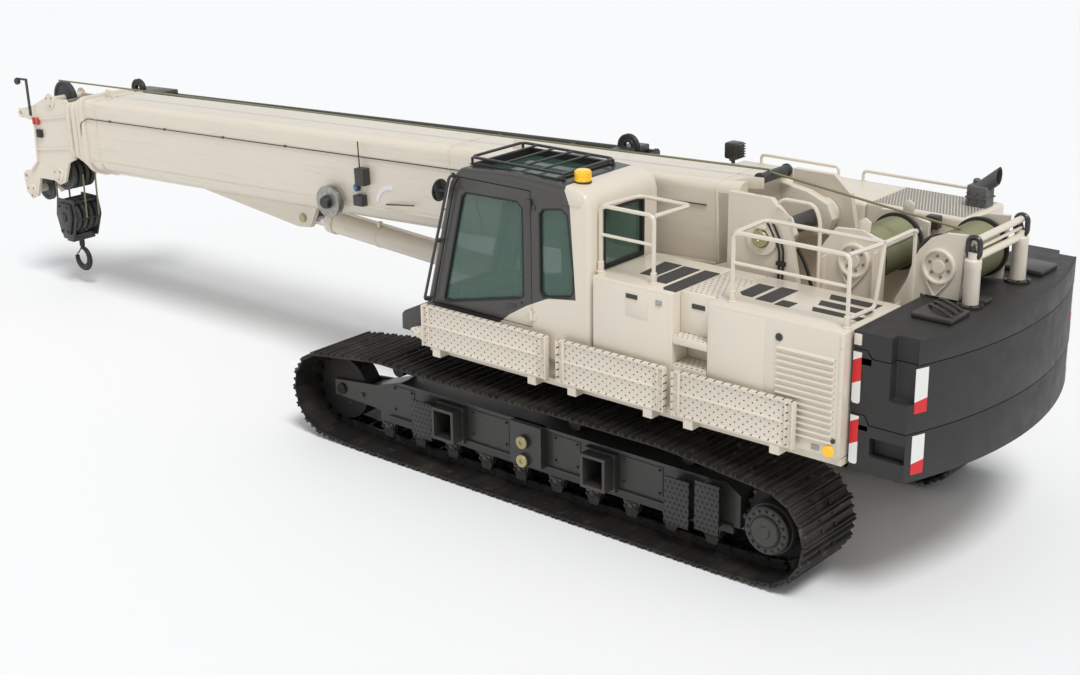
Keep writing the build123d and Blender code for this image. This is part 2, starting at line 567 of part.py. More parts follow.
# Walkways
for name, rear, front in WALKWAYS:
    with BuildPart() as walkway:
        block((rear, front), (WALKWAY_OUTER - WALKWAY_THICK, WALKWAY_OUTER),
              (WALKWAY_BOTTOM, WALKWAY_BOTTOM + WALKWAY_HEIGHT))
    save(name, walkway)

# Counterweight
for number, name in enumerate(("lower", "middle", "upper")):
    low, high = WEIGHT_LEVELS[number:number + 2]
    with BuildPart() as weight:
        with BuildSketch(Plane.XY.offset(low)) as plan:
            Circle(WEIGHT_RADIUS)
            with Locations((WEIGHT_FRONT - WEIGHT_RADIUS, 0)):
                Rectangle(2 * WEIGHT_RADIUS, 2 * WEIGHT_HALF, mode=Mode.INTERSECT)
        extrude(plan.sketch, amount=high - low)
        if number == 0:
            block((TONGUE_REAR, WEIGHT_FRONT), (-TONGUE_HALF, TONGUE_HALF), (low, TONGUE_TOP),
                  mode=Mode.SUBTRACT)
    save(f"counterweight_{name}", weight)

with BuildPart() as weight_lifts:
    for edge in (-1, 1):
        bar((-3200, edge * 370, WEIGHT_LEVELS[-1]), (-3200, edge * 370, 2440), 60)
        block((-3230, -3170), (edge * 350, edge * 390), (2440, 2570))
    bar((-3200, -370, 2390), (-3200, 370, 2390), 30)
save("weight_lifts", weight_lifts)

# Winches
with BuildPart() as winch_frame:
    for edge in (-1, 1):
        faces = (edge * (DRUM_HALF + 20), edge * (DRUM_HALF + 20 + WINCH_PLATE))
        slab([(-1980, FRAME_BOX_TOP), (-1980, 2260), (-2090, 2420), (-2310, 2440), (-2410, 2400),
              (-2495, 2380), (-2480, FRAME_BOX_TOP)], *faces)
        slab([(-2600, FRAME_BOX_TOP), (-2600, 1975), (-2690, 2140), (-2730, 2285), (-2775, 2380),
              (-2860, 2480), (-2975, 2530), (-3126, 2540), (-3100, WEIGHT_LEVELS[-1] + 12),
              (DECK_REAR, WEIGHT_LEVELS[-1] + 12), (DECK_REAR, FRAME_BOX_TOP)], *faces)
        for name, x, z in DRUMS:
            disc(x, z, DRUM_SHAFT + RUN_GAP, *faces, mode=Mode.SUBTRACT)
save("winch_frame", winch_frame)

for name, x, z in DRUMS:
    with BuildPart() as drum:
        disc(x, z, DRUM_CORE, -DRUM_HALF, DRUM_HALF)
        disc(x, z, DRUM_SHAFT, -DRUM_HALF - 20 - WINCH_PLATE, DRUM_HALF + 20 + WINCH_PLATE)
        for edge in (-1, 1):
            disc(x, z, DRUM_FLANGE, edge * (DRUM_HALF - FLANGE_THICK), edge * DRUM_HALF)
    save(name, drum)

# Boom
DROP = radians(BOOM_DROP)
BOOM_DIR = (cos(DROP), 0, -sin(DROP))
FOOT = (FOOT_X, 0, FOOT_Z)
BOOM_SIDE = Plane(origin=FOOT, x_dir=BOOM_DIR, z_dir=(0, -1, 0))
BOOM_SECTION = Plane(origin=FOOT, x_dir=(0, 1, 0), z_dir=BOOM_DIR)


def boom_tube(start, end, inset, mode=Mode.ADD):
    """A straight length of the boom's outline, drawn in by an inset."""
    half = BOOM_WIDTH / 2
    with BuildSketch(BOOM_SECTION.offset(start)) as outline:
        with BuildLine():
            Polyline((half, BOOM_TOP - BOOM_CORNER), (half, BOOM_BOTTOM + 165),
                     (0.78 * half, BOOM_BOTTOM + 60), (0.42 * half, BOOM_BOTTOM),
                     (-0.42 * half, BOOM_BOTTOM), (-0.78 * half, BOOM_BOTTOM + 60),
                     (-half, BOOM_BOTTOM + 165), (-half, BOOM_TOP - BOOM_CORNER),
                     (-half + BOOM_CORNER * 0.3, BOOM_TOP - BOOM_CORNER * 0.3),
                     (-half + BOOM_CORNER, BOOM_TOP), (half - BOOM_CORNER, BOOM_TOP),
                     (half - BOOM_CORNER * 0.3, BOOM_TOP - BOOM_CORNER * 0.3), close=True)
        make_face()
        if inset > 0:
            offset(amount=-inset, mode=Mode.REPLACE, kind=Kind.INTERSECTION)
        elif inset < 0:
            offset(amount=-inset, mode=Mode.REPLACE)
    extrude(outline.sketch, amount=end - start, mode=mode)


def pads(s_from, s_to, height_from, height_to, half_width):
    """A pair of sliding pads across the boom."""
    for edge in (-1, 1):
        slab([(s_from, height_from), (s_to, height_from), (s_to, height_to), (s_from, height_to)],
             edge * (half_width - 90), edge * half_width, plane=BOOM_SIDE)


def section_length(number):
    """Start and end of a boom section along the boom."""
    return BASE_START + number * SECTION_TAIL, BASE_END + number * SECTION_LIP


for number, name in enumerate(("boom_base", "boom_section_2", "boom_section_3", "boom_tip")):
    start, end = section_length(number)
    inset = number * SECTION_STEP
    slack = SECTION_STEP - BOOM_WALL
    with BuildPart() as section:
        boom_tube(start, end, inset)
        if number < 3:
            boom_tube(end - 70, end, inset - COLLAR if number == 0 else inset + slack / 2 - COLLAR)
        boom_tube(start + (BOOM_WALL if number else 0), end, inset + BOOM_WALL, mode=Mode.SUBTRACT)
        floor = BOOM_BOTTOM + inset + BOOM_WALL
        if number < 3:
            pads(end - 150, end - 10, floor - 4, floor + slack - RUN_GAP, 130 - inset / 3)
        if number:
            ceiling = BOOM_TOP - inset
            pads(start + 10, start + 150, ceiling - 4, ceiling + slack - RUN_GAP, 200 - inset / 2)
        if number == 0:
            for edge in (-1, 1):
                slab([(BASE_START + 200, BOOM_TOP - 60), (BASE_START + 200, -300), (100, -170), (-120, -120),
                      (-170, 0), (-120, 120), (60, 200)], edge * (BOOM_WIDTH / 2 - 90),
                     edge * (BOOM_WIDTH / 2), plane=BOOM_SIDE)
                disc(0, 0, 130, edge * (BOOM_WIDTH / 2), edge * (CHEEK_INNER - MOVE_GAP), plane=BOOM_SIDE)
            disc(0, 0, FOOT_PIN_RADIUS, -CHEEK_OUTER - 30, CHEEK_OUTER + 30, plane=BOOM_SIDE)
            for edge in (-1, 1):
                slab([(ROPE_ROLLER_S - 50, BOOM_TOP - 15), (ROPE_ROLLER_S - 50, ROPE_ROLLER_H + 20),
                      (ROPE_ROLLER_S + 40, ROPE_ROLLER_H + 20), (BASE_START + 140, BOOM_TOP - 5),
                      (BASE_START + 20, BOOM_TOP - 60)],
                     edge * ROPE_ROLLER_HALF, edge * (ROPE_ROLLER_HALF + 20), plane=BOOM_SIDE)
            disc(ROPE_ROLLER_S, ROPE_ROLLER_H, ROPE_ROLLER_RADIUS, -ROPE_ROLLER_HALF, ROPE_ROLLER_HALF,
                 plane=BOOM_SIDE)
    save(name, section)

HEAD_START = section_length(3)[1]
HEAD_SHEAVE_S = HEAD_START + 330
HEAD_SHEAVE_H = -560.0
TOP_SHEAVE_S = HEAD_START + 318
TOP_SHEAVE_H = 255.0
NOSE_SHEAVE_S = HEAD_START + 880
NOSE_SHEAVE_H = -800.0
NOSE_SHEAVE_RADIUS = 150.0
SHEAVE_RADIUS = 190.0
SHEAVE_HALF = 22.0
SHEAVE_PIN = 40.0
SHEAVE_Y = (-120, -40, 40, 120)
JIB_PINS = ((895, 75), (955, -640))
JIB_PIN_RADIUS = 25.0
HEAD_HALF = 205.0
HEAD_CHEEK = 30.0
HEAD_FRONT = 640.0
HEAD_CHEEK_OUTLINE = [(0, 237), (60, 285), (400, 285), (HEAD_FRONT, 185), (850, 130), (945, 120), (945, 30),
                      (850, 25), (HEAD_FRONT + 20, 0), (HEAD_FRONT + 50, -440), (830, -560), (960, -580),
                      (1010, -640), (1000, -820), (900, -900), (790, -860), (700, -640), (430, -640),
                      (330, -680), (230, -640), (130, -420), (0, -367)]

with BuildPart() as boom_head:
    boom_tube(HEAD_START, HEAD_START + HEAD_CHEEK, 3 * SECTION_STEP)
    for edge in (-1, 1):
        slab([(HEAD_START + s, h) for s, h in HEAD_CHEEK_OUTLINE],
             edge * (HEAD_HALF - HEAD_CHEEK), edge * HEAD_HALF, plane=BOOM_SIDE)
    for s, h in JIB_PINS:
        disc(HEAD_START + s, h, JIB_PIN_RADIUS, -HEAD_HALF - 1, HEAD_HALF + 1, plane=BOOM_SIDE,
             mode=Mode.SUBTRACT)
    disc(HEAD_SHEAVE_S, HEAD_SHEAVE_H, SHEAVE_PIN, -HEAD_HALF - 20, HEAD_HALF + 20, plane=BOOM_SIDE)
    disc(TOP_SHEAVE_S, TOP_SHEAVE_H, SHEAVE_PIN, -HEAD_HALF - 20, HEAD_HALF + 20, plane=BOOM_SIDE)
    disc(NOSE_SHEAVE_S, NOSE_SHEAVE_H, SHEAVE_PIN, -HEAD_HALF - 20, HEAD_HALF + 20, plane=BOOM_SIDE)
    slab([(HEAD_START + HEAD_FRONT - 20, 185), (HEAD_START + HEAD_FRONT, 185), (HEAD_START + HEAD_FRONT + 20, 0),
          (HEAD_START + HEAD_FRONT, 0)], -HEAD_HALF, HEAD_HALF, plane=BOOM_SIDE)
save("boom_head", boom_head)

with BuildPart() as head_sheaves:
    sheaves = [(HEAD_SHEAVE_S, HEAD_SHEAVE_H, y, SHEAVE_RADIUS) for y in SHEAVE_Y]
    sheaves.append((TOP_SHEAVE_S, TOP_SHEAVE_H, 0, SHEAVE_RADIUS))
    sheaves.append((NOSE_SHEAVE_S, NOSE_SHEAVE_H, 0, NOSE_SHEAVE_RADIUS))
    for s, h, y, radius in sheaves:
        disc(s, h, radius, y - SHEAVE_HALF, y + SHEAVE_HALF, plane=BOOM_SIDE)
        disc(s, h, SHEAVE_PIN + RUN_GAP, y - SHEAVE_HALF, y + SHEAVE_HALF, plane=BOOM_SIDE,
             mode=Mode.SUBTRACT)
save("head_sheaves", head_sheaves)

# Hook block, hanging plumb from the head sheaves
SHEAVE_AT = BOOM_SIDE.from_local_coords((HEAD_SHEAVE_S, HEAD_SHEAVE_H, 0))
BLOCK_Z = 820.0
BLOCK_HALF = 170.0
ROPE_RADIUS = 10.0
HOOK_TOP = 560.0
with BuildPart() as hoist_falls:
    for number, y in enumerate(SHEAVE_Y):
        x = SHEAVE_AT.X + (SHEAVE_RADIUS + ROPE_RADIUS + RUN_GAP) * (1 if number % 2 else -1)
        bar((x, y, SHEAVE_AT.Z), (x, y, BLOCK_Z), ROPE_RADIUS)
save("hoist_falls", hoist_falls)

with BuildPart() as hook_block:
    for y in SHEAVE_Y:
        disc(SHEAVE_AT.X, BLOCK_Z, SHEAVE_RADIUS, y - SHEAVE_HALF, y + SHEAVE_HALF)
    disc(SHEAVE_AT.X, BLOCK_Z, SHEAVE_PIN, -BLOCK_HALF - 20, BLOCK_HALF + 20)
    for edge in (-1, 1):
        slab([(SHEAVE_AT.X - 150, BLOCK_Z + 200), (SHEAVE_AT.X + 150, BLOCK_Z + 200),
              (SHEAVE_AT.X + 190, BLOCK_Z), (SHEAVE_AT.X + 90, HOOK_TOP), (SHEAVE_AT.X - 90, HOOK_TOP),
              (SHEAVE_AT.X - 190, BLOCK_Z)], edge * (BLOCK_HALF - 20), edge * BLOCK_HALF)
    block((SHEAVE_AT.X - 60, SHEAVE_AT.X + 60), (-BLOCK_HALF, BLOCK_HALF), (HOOK_TOP - 30, HOOK_TOP + 50))
    bar((SHEAVE_AT.X, 0, HOOK_TOP - 31), (SHEAVE_AT.X, 0, HOOK_TOP + 51), 32 + RUN_GAP, mode=Mode.SUBTRACT)
save("hook_block", hook_block)

HOOK_CENTRE = (SHEAVE_AT.X, HOOK_TOP - 250)
with BuildPart() as hook:
    bar((SHEAVE_AT.X, 0, HOOK_TOP - 120), (SHEAVE_AT.X, 0, HOOK_TOP + 50), 32)
    disc(*HOOK_CENTRE, 150, -32, 32)
    disc(*HOOK_CENTRE, 85, -32, 32, mode=Mode.SUBTRACT)
    block((HOOK_CENTRE[0] + 20, HOOK_CENTRE[0] + 200), (-40, 40), (HOOK_CENTRE[1] + 10, HOOK_CENTRE[1] + 160),
          mode=Mode.SUBTRACT)
save("hook", hook)

# Lattice jib, stowed along the boom's right side
JIB_SPAN = (1900.0, 8900.0)
JIB_HEIGHTS = (-200.0, 220.0)
JIB_Y = (-780.0, -400.0)
JIB_CHORD = 30.0
JIB_LACE = 18.0
JIB_BAYS = 8
with BuildPart() as jib:
    bay = (JIB_SPAN[1] - JIB_SPAN[0]) / JIB_BAYS

    def jib_point(s, y, h):
        """A point of the jib, by its place along, across and above the boom line."""
        return tuple(BOOM_SIDE.from_local_coords((s, h, -y)))

    for y in JIB_Y:
        for h in JIB_HEIGHTS:
            bar(jib_point(JIB_SPAN[0], y, h), jib_point(JIB_SPAN[1], y, h), JIB_CHORD)
    for number in range(JIB_BAYS + 1):
        s = JIB_SPAN[0] + number * bay
        for h in JIB_HEIGHTS:
            bar(jib_point(s, JIB_Y[0], h), jib_point(s, JIB_Y[1], h), JIB_LACE)
        for y in JIB_Y:
            bar(jib_point(s, y, JIB_HEIGHTS[0]), jib_point(s, y, JIB_HEIGHTS[1]), JIB_LACE)
            if number < JIB_BAYS:
                bar(jib_point(s, y, JIB_HEIGHTS[number % 2]),
                    jib_point(s + bay, y, JIB_HEIGHTS[1 - number % 2]), JIB_LACE)
    for s in (JIB_SPAN[0] + bay, JIB_SPAN[1] - 1.5 * bay):
        for h in JIB_HEIGHTS:
            slab([(s - 60, h - 20), (s + 60, h - 20), (s + 60, h + 20), (s - 60, h + 20)],
                 JIB_Y[1], -BOOM_WIDTH / 2, plane=BOOM_SIDE)
save("jib", jib)

# Cable reel on the boom's left side
REEL_S = 4780.0
REEL_H = -290.0
with BuildPart() as cable_reel:
    disc(REEL_S, REEL_H, 150, BOOM_WIDTH / 2 + 40, BOOM_WIDTH / 2 + 110, plane=BOOM_SIDE)
    disc(REEL_S, REEL_H, 60, BOOM_WIDTH / 2, BOOM_WIDTH / 2 + 160, plane=BOOM_SIDE)
save("cable_reel", cable_reel)

# Bracket of the lift cylinder's rod, under the boom
ROD_PIN = BOOM_SIDE.to_local_coords(Vector(ROD_PIN_X, 0, ROD_PIN_Z))
BRACKET_HALF = 130.0
BRACKET_REACH = 1450.0
with BuildPart() as boom_bracket:
    for edge in (-1, 1):
        faces = (edge * (EYE_HALF + MOVE_GAP), edge * BRACKET_HALF)
        slab([(ROD_PIN.X - 200, BOOM_BOTTOM), (ROD_PIN.X - 90, ROD_PIN.Y - 85), (ROD_PIN.X + 80, ROD_PIN.Y - 95),
              (ROD_PIN.X + BRACKET_REACH, BOOM_BOTTOM)], *faces, plane=BOOM_SIDE)
    slab([(ROD_PIN.X + 560, BOOM_BOTTOM), (ROD_PIN.X + 560, BOOM_BOTTOM - 60), (ROD_PIN.X + 1000, BOOM_BOTTOM - 30),
          (ROD_PIN.X + 1000, BOOM_BOTTOM)], -BRACKET_HALF, BRACKET_HALF, plane=BOOM_SIDE)
save("boom_bracket", boom_bracket)

# Lift cylinder
CYLINDER_RUN = Vector(ROD_PIN_X - BARREL_PIN_X, 0, ROD_PIN_Z - BARREL_PIN_Z)
CYLINDER_SIDE = Plane(origin=(BARREL_PIN_X, 0, BARREL_PIN_Z), x_dir=CYLINDER_RUN, z_dir=(0, -1, 0))
CYLINDER_AXIS = Plane(origin=(BARREL_PIN_X, 0, BARREL_PIN_Z), z_dir=CYLINDER_RUN)
BARREL_START = EYE_RADIUS + 20
BARREL_END = CYLINDER_RUN.length - 260

with BuildPart() as lift_barrel:
    disc(0, 0, EYE_RADIUS, -EYE_HALF, EYE_HALF, plane=CYLINDER_SIDE)
    slab([(0, EYE_RADIUS * 0.8), (BARREL_START + 10, EYE_RADIUS * 0.8), (BARREL_START + 10, -EYE_RADIUS * 0.8),
          (0, -EYE_RADIUS * 0.8)], -EYE_HALF, EYE_HALF, plane=CYLINDER_SIDE)
    disc(0, 0, CYLINDER_PIN_RADIUS, -BARREL_SLOT, BARREL_SLOT, plane=CYLINDER_SIDE)
    with BuildSketch(CYLINDER_AXIS.offset(BARREL_START)) as tube:
        Circle(BARREL_RADIUS)
    extrude(tube.sketch, amount=BARREL_END - BARREL_START)
    with BuildSketch(CYLINDER_AXIS.offset(BARREL_START + 60)) as bore:
        Circle(ROD_RADIUS + RUN_GAP)
    extrude(bore.sketch, amount=BARREL_END, mode=Mode.SUBTRACT)
save("lift_barrel", lift_barrel)

with BuildPart() as lift_rod:
    with BuildSketch(CYLINDER_AXIS.offset(BARREL_START + 80)) as rod:
        Circle(ROD_RADIUS)
    extrude(rod.sketch, amount=CYLINDER_RUN.length - BARREL_START - 80)
    disc(CYLINDER_RUN.length, 0, EYE_RADIUS, -EYE_HALF, EYE_HALF, plane=CYLINDER_SIDE)
    save("lift_rod", lift_rod)
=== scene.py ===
from math import atan2, cos, pi, radians, sin

import bpy
from mathutils import Matrix, Vector


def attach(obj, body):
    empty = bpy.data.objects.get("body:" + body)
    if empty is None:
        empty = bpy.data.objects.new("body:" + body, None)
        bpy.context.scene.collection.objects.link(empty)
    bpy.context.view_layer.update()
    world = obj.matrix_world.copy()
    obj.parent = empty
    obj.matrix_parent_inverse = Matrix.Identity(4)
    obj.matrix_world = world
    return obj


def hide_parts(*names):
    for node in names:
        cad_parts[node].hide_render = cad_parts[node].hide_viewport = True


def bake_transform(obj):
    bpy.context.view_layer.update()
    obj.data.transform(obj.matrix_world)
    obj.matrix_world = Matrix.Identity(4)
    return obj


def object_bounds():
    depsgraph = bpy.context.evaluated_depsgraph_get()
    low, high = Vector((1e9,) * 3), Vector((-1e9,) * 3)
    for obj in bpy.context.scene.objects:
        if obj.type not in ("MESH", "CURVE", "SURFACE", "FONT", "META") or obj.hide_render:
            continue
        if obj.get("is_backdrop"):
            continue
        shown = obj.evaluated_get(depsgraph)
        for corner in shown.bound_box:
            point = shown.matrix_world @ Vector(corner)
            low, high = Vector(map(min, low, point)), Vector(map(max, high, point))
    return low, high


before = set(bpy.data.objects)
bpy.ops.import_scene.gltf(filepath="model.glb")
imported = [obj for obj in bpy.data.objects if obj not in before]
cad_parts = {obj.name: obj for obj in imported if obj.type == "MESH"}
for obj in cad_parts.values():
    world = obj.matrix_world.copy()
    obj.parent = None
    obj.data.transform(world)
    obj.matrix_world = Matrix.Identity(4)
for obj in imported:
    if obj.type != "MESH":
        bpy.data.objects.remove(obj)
cad_box = [list(corner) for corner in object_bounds()]

# Camera: stands off the crane's rear left quarter, a little above the cab roof, and looks down
# the length of the boom, on a lens of 58 mm.
SENSOR_WIDTH, LENS_IN_PIXELS, PICTURE_WIDTH = 36, 1742.5, 1080
CAMERA_PLACE = (-8.337, 11.106, 5.897)
YAW, PITCH, ROLL = radians(-49.834), radians(-19.32), radians(-0.738)
camera_data = bpy.data.cameras.new("quarter_view")
camera_data.sensor_width = SENSOR_WIDTH
camera_data.lens = LENS_IN_PIXELS * SENSOR_WIDTH / PICTURE_WIDTH
camera = bpy.data.objects.new("quarter_view", camera_data)
bpy.context.scene.collection.objects.link(camera)
ahead = Vector((cos(PITCH) * cos(YAW), cos(PITCH) * sin(YAW), sin(PITCH)))
level = ahead.cross(Vector((0, 0, 1))).normalized()
upright = level.cross(ahead)
across = level * cos(ROLL) + upright * sin(ROLL)
above = upright * cos(ROLL) - level * sin(ROLL)
turned = Matrix((across, above, -ahead)).transposed()
camera.matrix_world = Matrix.Translation(CAMERA_PLACE) @ turned.to_4x4()
bpy.context.scene.camera = camera
bpy.context.scene.view_settings.view_transform = "Standard"


# Floor and light: a pale studio floor and an even pale surround. A broad soft sun stands high over
# the crane's rear left, and one large soft lamp stands low ahead of it on the left.
class Signal:
    """One output in a material's node tree, on which sums can be written."""

    def __init__(self, tree, socket):
        self.tree = tree
        self.socket = socket

    def node(self, kind, settings=None, sockets=None, out=0):
        """Adds a node: its settings first, then the values or links of its sockets."""
        added = self.tree.nodes.new(kind)
        for name, value in (settings or {}).items():
            setattr(added, name, value)
        for name, value in (sockets or {}).items():
            if isinstance(value, Signal):
                self.tree.links.new(value.socket, added.inputs[name])
            else:
                added.inputs[name].default_value = value
        return Signal(self.tree, added.outputs[out])

    def sum(self, operation, *values):
        return self.node("ShaderNodeMath", {"operation": operation}, dict(enumerate(values)))

    def __add__(self, other):
        return self.sum("ADD", self, other)

    def __sub__(self, other):
        return self.sum("SUBTRACT", self, other)

    def __mul__(self, other):
        return self.sum("MULTIPLY", self, other)

    def __truediv__(self, other):
        return self.sum("DIVIDE", self, other)

    def __gt__(self, other):
        return self.sum("GREATER_THAN", self, other)

    def __radd__(self, other):
        return self.sum("ADD", other, self)

    def __rsub__(self, other):
        return self.sum("SUBTRACT", other, self)

    def __rmul__(self, other):
        return self.sum("MULTIPLY", other, self)

    def feed(self, target, name):
        self.tree.links.new(self.socket, target.inputs[name])


def tint(red, green, blue):
    """A colour as it looks on screen, from 0 to 255, as a shader takes it."""
    parts = [value / 255 for value in (red, green, blue)]
    return tuple(part / 12.92 if part <= 0.04045 else ((part + 0.055) / 1.055) ** 2.4
        for part in parts) + (1,)


world = bpy.data.worlds.new("surround")
bpy.context.scene.world = world
world.use_nodes = True
surround = world.node_tree.nodes["Background"]
surround.inputs["Color"].default_value = (0.98, 0.99, 1.0, 1)
ray = Signal(world.node_tree, world.node_tree.nodes.new("ShaderNodeLightPath").outputs["Is Camera Ray"])
gloss_ray = Signal(world.node_tree, ray.socket.node.outputs["Is Glossy Ray"])
glass_ray = Signal(world.node_tree, ray.socket.node.outputs["Is Transmission Ray"])
seen = ray.sum("MAXIMUM", ray, glass_ray)
(0.5 + seen * 0.5 + gloss_ray * 0.25).feed(surround, "Strength")

floor_data = bpy.data.meshes.new("floor")
FLOOR_REACH, FLOOR_Z = 60, -0.002
corners = [(a * FLOOR_REACH, b * FLOOR_REACH, FLOOR_Z) for a, b in ((-1, -1), (1, -1), (1, 1), (-1, 1))]
floor_data.from_pydata(corners, [], [(0, 1, 2, 3)])
floor = bpy.data.objects.new("floor", floor_data)
bpy.context.scene.collection.objects.link(floor)
floor_paint = bpy.data.materials.new("pale_floor")
floor_paint.use_nodes = True
floor_shader = floor_paint.node_tree.nodes["Principled BSDF"]
floor_shader.inputs["Base Color"].default_value = (0.93, 0.935, 0.94, 1)
floor_shader.inputs["Roughness"].default_value = 0.7
floor_data.materials.append(floor_paint)
floor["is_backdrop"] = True

for name, kind, place, aim, size, power in (
    ("key_lamp", "SUN", (-8, 5, 17), (0, 0, 0), radians(20), 1.95),
    ("low_lamp", "AREA", (9, 14, 5), (2, 0, 1), 8, 110),
):
    lamp_data = bpy.data.lights.new(name, kind)
    if kind == "SUN":
        lamp_data.angle = size
    else:
        lamp_data.size = size
    lamp_data.energy = power
    lamp = bpy.data.objects.new(name, lamp_data)
    bpy.context.scene.collection.objects.link(lamp)
    lamp.location = place
    lamp.rotation_euler = (Vector(aim) - Vector(place)).to_track_quat("-Z", "Y").to_euler()

# Tracks: two closed belts of cast steel shoes, each with three low bars across it, bolted to a
# chain of forged links and pins that runs round the sprocket, idler and rollers.
def rest():
    """Leaves edit mode and lets go of everything."""
    if bpy.context.object and bpy.context.object.mode != "OBJECT":
        bpy.ops.object.mode_set(mode="OBJECT")
    bpy.ops.object.select_all(action="DESELECT")


def place_at(side, near, a, b):
    """A point by its place along one axis and its two places across it."""
    return {"x": (near, a, b), "y": (a, near, b), "z": (a, b, near)}[side]


def rect(left, low, right, high):
    """The corners of a rectangle, from its low left corner round to its high left one."""
    return [(left, low), (right, low), (right, high), (left, high)]


def button(radius, low, high, top_radius, top):
    """The profile of a disc whose upper edge is drawn in."""
    return [(0, low), (radius, low), (radius, high), (top_radius, top), (0, top)]


def drawn(name, points, fill="NOTHING"):
    """A ring of edges through the points, filled or open; it is left in edit mode."""
    rest()
    bpy.ops.mesh.primitive_circle_add(vertices=len(points), radius=1, fill_type=fill)
    piece = bpy.context.object
    piece.name = piece.data.name = name
    for vertex, place in zip(piece.data.vertices, points):
        vertex.co = place
    bpy.ops.object.mode_set(mode="EDIT")
    bpy.ops.mesh.select_all(action="SELECT")
    return piece


def faced_out():
    """Turns all faces of the mesh in edit mode outwards and leaves edit mode."""
    bpy.ops.mesh.select_all(action="SELECT")
    bpy.ops.mesh.normals_make_consistent(inside=False)
    bpy.ops.object.mode_set(mode="OBJECT")


def thickened(piece, depth, side):
    """Extrudes what is selected along one axis."""
    bpy.ops.mesh.extrude_region_move(TRANSFORM_OT_translate={"value": place_at(side, depth, 0, 0)})
    faced_out()
    return piece


def plate(name, outline, near, far, side="y"):
    """A flat plate: a face cut to the outline, extruded to its thickness."""
    piece = drawn(name, [place_at(side, near, a, b) for a, b in outline], "NGON")
    return thickened(piece, far - near, side)


def block(name, low, high):
    """A box between two corners, as a start for a piece."""
    return plate(name, rect(low[0], low[2], high[0], high[2]), low[1], high[1])


def bevelled(piece, width, segments=2, angle=40):
    """Rounds the piece's sharp edges."""
    rest()
    bpy.context.view_layer.objects.active = piece
    piece.select_set(True)
    rounding = piece.modifiers.new("rounding", "BEVEL")
    rounding.width = width
    rounding.segments = segments
    rounding.limit_method = "ANGLE"
    rounding.angle_limit = radians(angle)
    bpy.ops.object.modifier_apply(modifier=rounding.name)
    return piece


def opened(piece):
    """Takes out the edge between a ring's last point and its first."""
    last = len(piece.data.vertices) - 1
    bpy.ops.mesh.select_all(action="DESELECT")
    bpy.ops.object.mode_set(mode="OBJECT")
    bpy.context.tool_settings.mesh_select_mode = (False, True, False)
    for edge in piece.data.edges:
        edge.select = set(edge.vertices) == {0, last}
    bpy.ops.object.mode_set(mode="EDIT")
    bpy.ops.mesh.delete(type="EDGE_FACE")
    bpy.context.tool_settings.mesh_select_mode = (True, False, False)


MERGE_DISTANCE = 0.00002


def lathe(name, profile, centre, side="y", steps=32, sign=1):
    """A turned piece: a profile of (radius, distance along the axis) spun once round its axis."""
    centre = Vector(centre)
    arm = Vector((0, 0, 1)) if side == "x" else Vector((1, 0, 0))
    axis = Vector(place_at(side, 1, 0, 0))
    piece = drawn(name, [centre + arm * radius + axis * along * sign for radius, along in profile])
    if profile[0][0] == 0 and profile[-1][0] == 0:
        opened(piece)
        bpy.ops.mesh.select_all(action="SELECT")
    bpy.ops.mesh.spin(steps=steps, angle=2 * pi, center=centre, axis=axis)
    bpy.ops.mesh.select_all(action="SELECT")
    bpy.ops.mesh.remove_doubles(threshold=MERGE_DISTANCE)
    faced_out()
    return piece


def moved(piece, matrix):
    """Turns and shifts the piece's mesh."""
    piece.data.transform(matrix)
    return piece


def joined(name, pieces):
    """The pieces made one mesh, with the origin where it was."""
    rest()
    for piece in pieces:
        piece.select_set(True)
    bpy.context.view_layer.objects.active = pieces[0]
    if len(pieces) > 1:
        bpy.ops.object.join()
    pieces[0].name = pieces[0].data.name = name
    return pieces[0]


def repeated(name, piece, places):
    """The piece copied to each place, every copy with its own mesh, as one piece."""
    copies = []
    for matrix in places:
        copy = piece.copy()
        copy.data = piece.data.copy()
        copy.data.transform(matrix)
        bpy.context.scene.collection.objects.link(copy)
        copies.append(copy)
    bpy.data.objects.remove(piece)
    return joined(name, copies)


def finish(piece, material, body, angle=35):
    """Gives a piece its material and smooth faces, and sets it on the body that carries it."""
    rest()
    bpy.context.view_layer.objects.active = piece
    piece.select_set(True)
    piece.data.materials.clear()
    piece.data.materials.append(material)
    bpy.ops.object.shade_smooth_by_angle(angle=radians(angle))
    if body:
        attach(piece, body)
    return piece


def surface(name, roughness, metallic=0.0, coat=0.0):
    """A new material: the material, its shader and the place on the object."""
    material = bpy.data.materials.new(name)
    material.use_nodes = True
    tree = material.node_tree
    shader = tree.nodes["Principled BSDF"]
    shader.inputs["Roughness"].default_value = roughness
    shader.inputs["Metallic"].default_value = metallic
    shader.inputs["Coat Weight"].default_value = coat
    spot = Signal(tree, tree.nodes.new("ShaderNodeTexCoord").outputs["Object"])
    return material, shader, spot


def grain(spot, scale, detail):
    """Fine or coarse noise, from 0 to 1."""
    return spot.node("ShaderNodeTexNoise", None, {"Vector": spot, "Scale": scale, "Detail": detail})


def cells(spot, scale):
    """Small cells, as in a weave or a honeycomb."""
    return spot.node("ShaderNodeTexVoronoi", None, {"Vector": spot, "Scale": scale})


def axes_of(signal):
    """The three parts of a vector."""
    parts = signal.node("ShaderNodeSeparateXYZ", None, {0: signal}).socket.node
    return [Signal(signal.tree, output) for output in parts.outputs]


def ramp(signal, low, high):
    """0 below one value of the signal, 1 above another."""
    return signal.node("ShaderNodeMapRange", None, {"Value": signal, "From Min": low, "From Max": high})


def blended(amount, first, second):
    """One colour turning into another."""
    return amount.node("ShaderNodeMix", {"data_type": "RGBA"}, {"Factor": amount, 6: first, 7: second}, 2)


